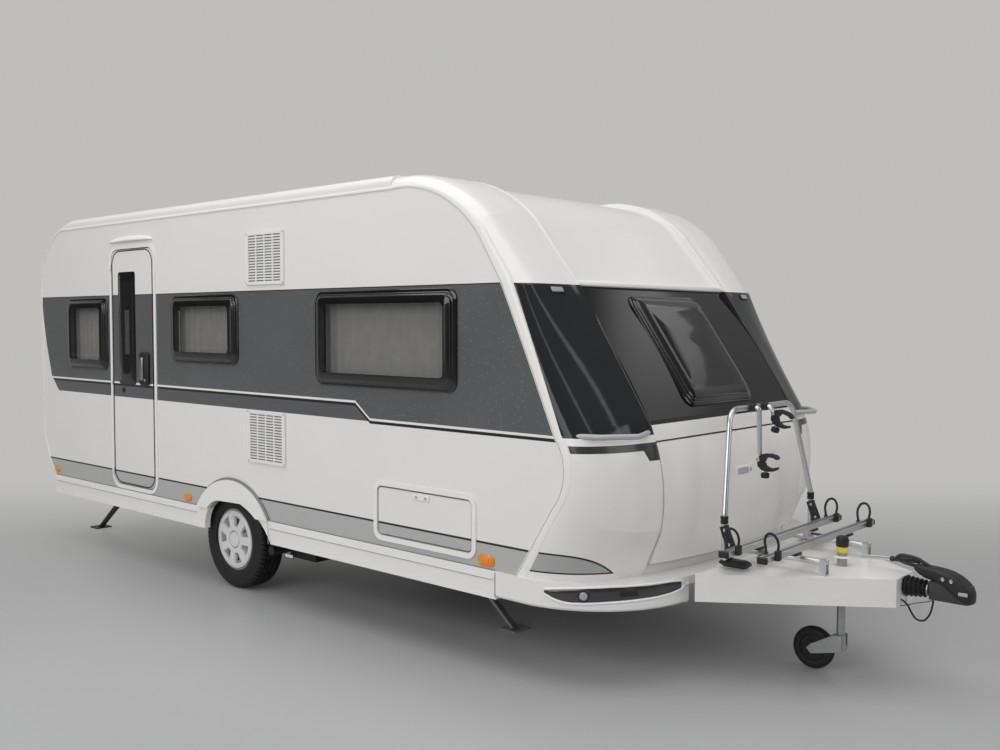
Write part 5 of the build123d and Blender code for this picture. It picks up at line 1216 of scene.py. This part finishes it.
# %% Frame holders
def claw(bag, centre, tilt):
    """A claw that opens forward, leaned by tilt degrees, with its knob below."""
    lean = Matrix.Rotation(math.radians(tilt), 3, "Y")
    outer = [(0.070, 0.030), (0.058, 0.040), (0.030, 0.046), (-0.005, 0.044), (-0.034, 0.030), (-0.044, 0.004),
             (-0.040, -0.022), (-0.020, -0.040), (0.012, -0.046), (0.045, -0.042), (0.066, -0.030)]
    inner = [(0.064, -0.019), (0.044, -0.028), (0.020, -0.027), (0.000, -0.018), (-0.010, 0.000),
             (-0.002, 0.018), (0.018, 0.028), (0.044, 0.027), (0.066, 0.018)]
    rows = [(-0.016, 0.93), (-0.013, 1.0), (0.013, 1.0), (0.016, 0.93)]
    for part in (outer[:6] + inner[4:], outer[5:] + inner[:5]):
        mid = Vector((sum(p[0] for p in part) / len(part), 0, sum(p[1] for p in part) / len(part)))
        bag.rings([[Vector(centre) + lean @ (mid + (Vector((u, 0, v)) - mid) * grow + Vector((0, side, 0)))
                    for u, v in part]
                   for side, grow in rows], pick=1)
    bag.turned([(-0.020, 0.009), (-0.018, 0.011), (0.018, 0.011), (0.020, 0.009)], Vector(centre)
               + lean @ Vector((-0.036, 0, 0.012)), (0, 1, 0), 16, pick=2)
    stem = Vector(centre) + lean @ Vector((-0.004, 0, -0.044))
    down = lean @ Vector((0, 0, -1))
    bag.turned([(0.0, 0.008), (0.010, 0.008)], stem, down, 16, pick=2)
    side = down.orthogonal().normalized()
    other = down.cross(side)
    rings = []
    for away, grow in [(0.008, 0.78), (0.012, 1.0), (0.030, 1.0), (0.036, 0.8)]:
        rings.append([stem + down * away
                      + (side * math.cos(a) + other * math.sin(a)) * grow * (0.019 + 0.003 * math.cos(5 * a))
                      for a in (math.radians(6 * k) for k in range(60))])
    bag.rings(rings, pick=1)


bag = Bag()
for start_y, points, centre, tilt in [
        (-0.140, [(2.392, -0.140, 1.300), (2.428, -0.138, 1.300), (2.422, -0.112, 1.060)],
         (2.457, -0.112, 1.026), 0),
        (-0.010, [(2.392, -0.010, 1.300), (2.424, -0.010, 1.300), (2.442, -0.012, 1.268)],
         (2.478, -0.012, 1.245), 18)]:
    bag.tube(points, 0.0125, bend=0.030, steps=16, pick=0)
    bag.turned([(-0.022, 0.018), (-0.019, 0.021), (0.019, 0.021), (0.022, 0.018)], (2.373, start_y, 1.300),
               (0, 1, 0), 24, pick=1)
    bag.box((2.388, start_y - 0.019, 1.280), (2.412, start_y + 0.019, 1.320), 0.006, pick=1)
    claw(bag, centre, tilt)
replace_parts(bag.make("frame_holders", ["silver_tube", "black_plastic", "bare_steel"], "carrier"),
            "carrier_arms")
print("holders made")

# %% [markdown]
# ## Jockey wheel, hitch and handbrake
# The wheel is turned with a rubber tyre, a ribbed hub and an axle bolt. A black cap and a
# yellow ring close the top of its sleeve. The hitch gets a pleated gaiter, a moulded cover
# with a loop handle and two bright bolts, and the handbrake a grip on a flat bar.

# %% Jockey wheel and hitch
JOCKEY, SLEEVE, GAITER = (2.677, 0, 0.105), (2.813, 0, 0), (3.1215, 0, 0.496)
bag = Bag()
bag.turned([(-0.020, 0.062), (-0.026, 0.066), (-0.0285, 0.080), (-0.0270, 0.093), (-0.0200, 0.1015),
            (-0.0100, 0.1045),
            (-0.0090, 0.1020), (-0.0070, 0.1020), (-0.0060, 0.1050), (0.0060, 0.1050), (0.0070, 0.1020),
            (0.0090, 0.1020),
            (0.0100, 0.1045), (0.0200, 0.1015), (0.0270, 0.093), (0.0285, 0.080), (0.026, 0.066),
            (0.020, 0.062)],
           JOCKEY, (0, 1, 0), 64, pick=0)
for side in (-1, 1):
    bag.turned([(0.014, 0.062), (0.021, 0.060), (0.0215, 0.054), (0.016, 0.050), (0.014, 0.034), (0.022, 0.030),
                (0.026, 0.020), (0.027, 0.012)], JOCKEY, (0, side, 0), 40, pick=1)
    for k in range(6):
        a = math.radians(60 * k + 15)
        x, z = JOCKEY[0] + 0.042 * math.cos(a), JOCKEY[2] + 0.042 * math.sin(a)
        bag.box((x - 0.006, side * 0.0175 - 0.0035, z - 0.006),
                (x + 0.006, side * 0.0175 + 0.0035, z + 0.006), 0.002, pick=1)
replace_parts(bag.make("jockey_roller", ["black_rubber", "black_plastic"], "jockey_wheel"), "jockey_wheel")
bag = Bag()
bag.turned([(0.662, 0.0060), (0.662, 0.0245), (0.636, 0.0245), (0.634, 0.0290), (0.637, 0.0305),
            (0.668, 0.0305), (0.680, 0.0270), (0.686, 0.0180), (0.688, 0.0060)], SLEEVE,
           UP, 32, pick=0)
bag.turned([(0.607, 0.0243), (0.607, 0.0262), (0.609, 0.0275), (0.631, 0.0275), (0.633, 0.0262),
            (0.633, 0.0243)], SLEEVE,
           UP, 32, pick=1, hollow=True)
bag.turned([(0.344, 0.0243), (0.344, 0.0330), (0.347, 0.0350), (0.392, 0.0350), (0.395, 0.0330),
            (0.395, 0.0243)], SLEEVE,
           UP, 32, pick=2, hollow=True)
bag.box((2.835, -0.016, 0.350), (2.872, 0.016, 0.390), 0.003, pick=2)
bag.turned([(-0.030, 0.0065), (-0.028, 0.0080), (0.045, 0.0080), (0.047, 0.0065)], (2.858, 0, 0.370), (0, 1, 0),
           16, pick=3)
bag.turned([(-0.028, 0.0060), (-0.026, 0.0070), (0.026, 0.0070), (0.028, 0.0060)], (2.858, 0.052, 0.370), UP,
           16, pick=3)
bag.turned([(0.5805, 0.0243), (0.5805, 0.040), (0.5825, 0.042), (0.5845, 0.040), (0.586, 0.034),
            (0.588, 0.0243)], SLEEVE,
           UP, 32, pick=4, hollow=True)
bag.make("jockey_top", ["black_plastic", "yellow_ring", "zinc_steel", "dark_steel", "white_plastic"], "caravan")
bag = Bag()
profile = [(0.0, 0.040), (0.001, 0.044)]
for ring in range(5):
    start = 0.004 + ring * 0.0205
    grow = 0.0505 - 0.0022 * ring
    profile += [(start, grow - 0.012), (start + 0.0045, grow - 0.002), (start + 0.0080, grow),
                (start + 0.0115, grow - 0.002), (start + 0.0160, grow - 0.012)]
profile += [(0.106, 0.030), (0.114, 0.029), (0.115, 0.026)]
bag.turned(profile, GAITER, (1, 0, 0), 40)
bag.turned([(0.104, 0.0300), (0.105, 0.0312), (0.110, 0.0312), (0.111, 0.0300)], GAITER, (1, 0, 0), 40, pick=1)
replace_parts(bag.make("gaiter", ["black_rubber", "zinc_steel"], "caravan"), "bellows")
bag = Bag()
HEAD = [(3.166, 0.582, 0.600, 0.018), (3.172, 0.576, 0.604, 0.024), (3.190, 0.564, 0.6055, 0.031),
        (3.220, 0.549, 0.6055, 0.036),
        (3.260, 0.5440, 0.6035, 0.042), (3.300, 0.530, 0.5975, 0.047), (3.335, 0.507, 0.5895, 0.050),
        (3.370, 0.482, 0.5735, 0.0508),
        (3.398, 0.463, 0.5540, 0.049), (3.418, 0.4585, 0.5360, 0.043), (3.430, 0.463, 0.5170, 0.030),
        (3.4345, 0.474, 0.5020, 0.014)]
rings = []
for x, low, high, half in HEAD:
    rings.append([(x, u, (low + high) / 2 + v) for u,
                  v in rounded(2 * half, high - low, min(0.018, (high - low) * 0.35), 5)])
bag.rings(rings, pick=0)
bag.tube([(3.240, -0.004, 0.600), (3.170, -0.004, 0.634), (3.100, -0.004, 0.637), (3.078, -0.004, 0.620),
          (3.105, -0.004, 0.606), (3.190, -0.004, 0.592)], 0.0085, bend=0.030, steps=12, pick=0)
for side in (-1, 1):
    for x, z, half in [(3.306, 0.563, 0.0475), (3.344, 0.560, 0.0502)]:
        bag.turned([(-0.003, 0.0090), (0.0025, 0.0090), (0.0035, 0.0075), (0.0025, 0.0045), (0.0025, 0.0010)],
                   (x, side * half, z), (0, side, 0), 20, pick=1)
    bag.box((3.375, side * 0.0485 - 0.0022, 0.500), (3.415, side * 0.0485 + 0.0022, 0.516), 0.001, pick=2)
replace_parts(bag.make("hitch_cover", ["black_plastic", "bare_steel", "grey_plastic"], "caravan"), "stabiliser")
bag = Bag()
bag.carried([(2.886, 0.062, 0.5855), (2.960, 0.062, 0.592), (3.035, 0.062, 0.5965)],
            rounded(0.007, 0.020, 0.003, 3), pick=0)
bag.turned([(0, 0.0095), (0.004, 0.0125), (0.012, 0.0130), (0.016, 0.0118), (0.040, 0.0120), (0.080, 0.0128),
            (0.118, 0.0135),
            (0.132, 0.0145), (0.140, 0.0135), (0.145, 0.0100)], (3.025, 0.062, 0.596), (1, 0, 0.085), 24,
           pick=1)
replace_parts(bag.make("handbrake", ["bare_steel", "black_plastic"], "caravan"), "brake_lever")
print("hitch made")

# %% [markdown]
# ## Lead and breakaway wire
# The electric lead and the thin wire of the brake hang from the drawbar to the hitch. Both
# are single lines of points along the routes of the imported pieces, given a round section.

# %% Cords
def cord(name, points, radius, replaced, finish_name):
    """A cord along points, in place of a packed one."""
    line = bpy.data.curves.new(name, "CURVE")
    line.dimensions, line.bevel_depth, line.bevel_resolution, line.use_fill_caps = "3D", radius, 5, True
    run = line.splines.new("NURBS")
    run.points.add(len(points) - 1)
    for point, place in zip(run.points, points):
        point.co = (*place, 1)
    run.order_u = 3
    run.use_endpoint_u = True
    run.resolution_u = 10
    line.materials.append(finishes[finish_name])
    made = bpy.data.objects.new(name, line)
    scene.collection.objects.link(made)
    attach(made, "caravan")
    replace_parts(made, replaced)


LEAD = [(3.122, -0.045, 0.436), (3.147, -0.046, 0.425), (3.166, -0.048, 0.390), (3.189, -0.048, 0.356),
        (3.225, -0.046, 0.352), (3.250, -0.042, 0.384), (3.259, -0.034, 0.424), (3.261, -0.028, 0.454)]
WIRE = [(2.847, 0.060, 0.394), (2.863, 0.061, 0.374), (2.905, 0.058, 0.362), (2.961, 0.053, 0.358),
        (3.019, 0.047, 0.364),
        (3.075, 0.040, 0.378), (3.131, 0.034, 0.398), (3.187, 0.028, 0.420), (3.235, 0.022, 0.434),
        (3.261, 0.018, 0.4555)]
cord("lead", LEAD, 0.0045, "tow_lead", "black_rubber")
cord("brake_wire", WIRE, 0.002, "breakaway_wire", "dark_steel")

# %% [markdown]
# ## Back of the caravan, lid lock and the last small parts
# The photograph doesn't show the back, so its lamps and blank number plate follow common
# practice. The lock plate of the gas locker ends the work.

# %% Back and lid
bag = Bag()
framed_box(bag, (-3.3675, 0, 0.560), (-1, 0, 0), UP, (0.530, 0.122, 0.006), 0.002, pick=3)
framed_box(bag, (-3.3710, 0, 0.560), (-1, 0, 0), UP, (0.512, 0.104, 0.004), 0.001, pick=4)
for sign in (RIGHT, LEFT):
    for x, y, z, size, pick in [(-3.3530, 0.965, 0.700, (0.196, 0.092, 0.010), 0),
                                (-3.3570, 1.020, 0.700, (0.062, 0.078, 0.008), 1),
                                (-3.3570, 0.915, 0.700, (0.046, 0.078, 0.008), 2),
                                (-3.3690, 0.160, 0.640, (0.060, 0.018, 0.010), 3)]:
        framed_box(bag, (x, sign * y, z), (-1, 0, 0), UP, size, 0.003, pick=pick)
bag.make("rear_lights", ["red_lens", "orange_lens", "clear_lens", "black_plastic", "plate_blank"], "caravan")
bag = Bag()
framed_box(bag, (2.2785, -0.001, 0.958), (1, 0, 0.06), UP, (0.166, 0.048, 0.008), 0.002, pick=0)
framed_box(bag, (2.2820, -0.020, 0.958), (1, 0, 0.06), UP, (0.112, 0.034, 0.006), 0.002, pick=1)
bag.turned([(0, 0.0105), (0.003, 0.0105), (0.0042, 0.008), (0.0034, 0.003)], (2.2825, 0.058, 0.958),
           (1, 0, 0.06), 20, pick=1)
bag.make("lid_lock", ["white_trim", "grey_plastic"], "locker_lid")
print("back and lid made")
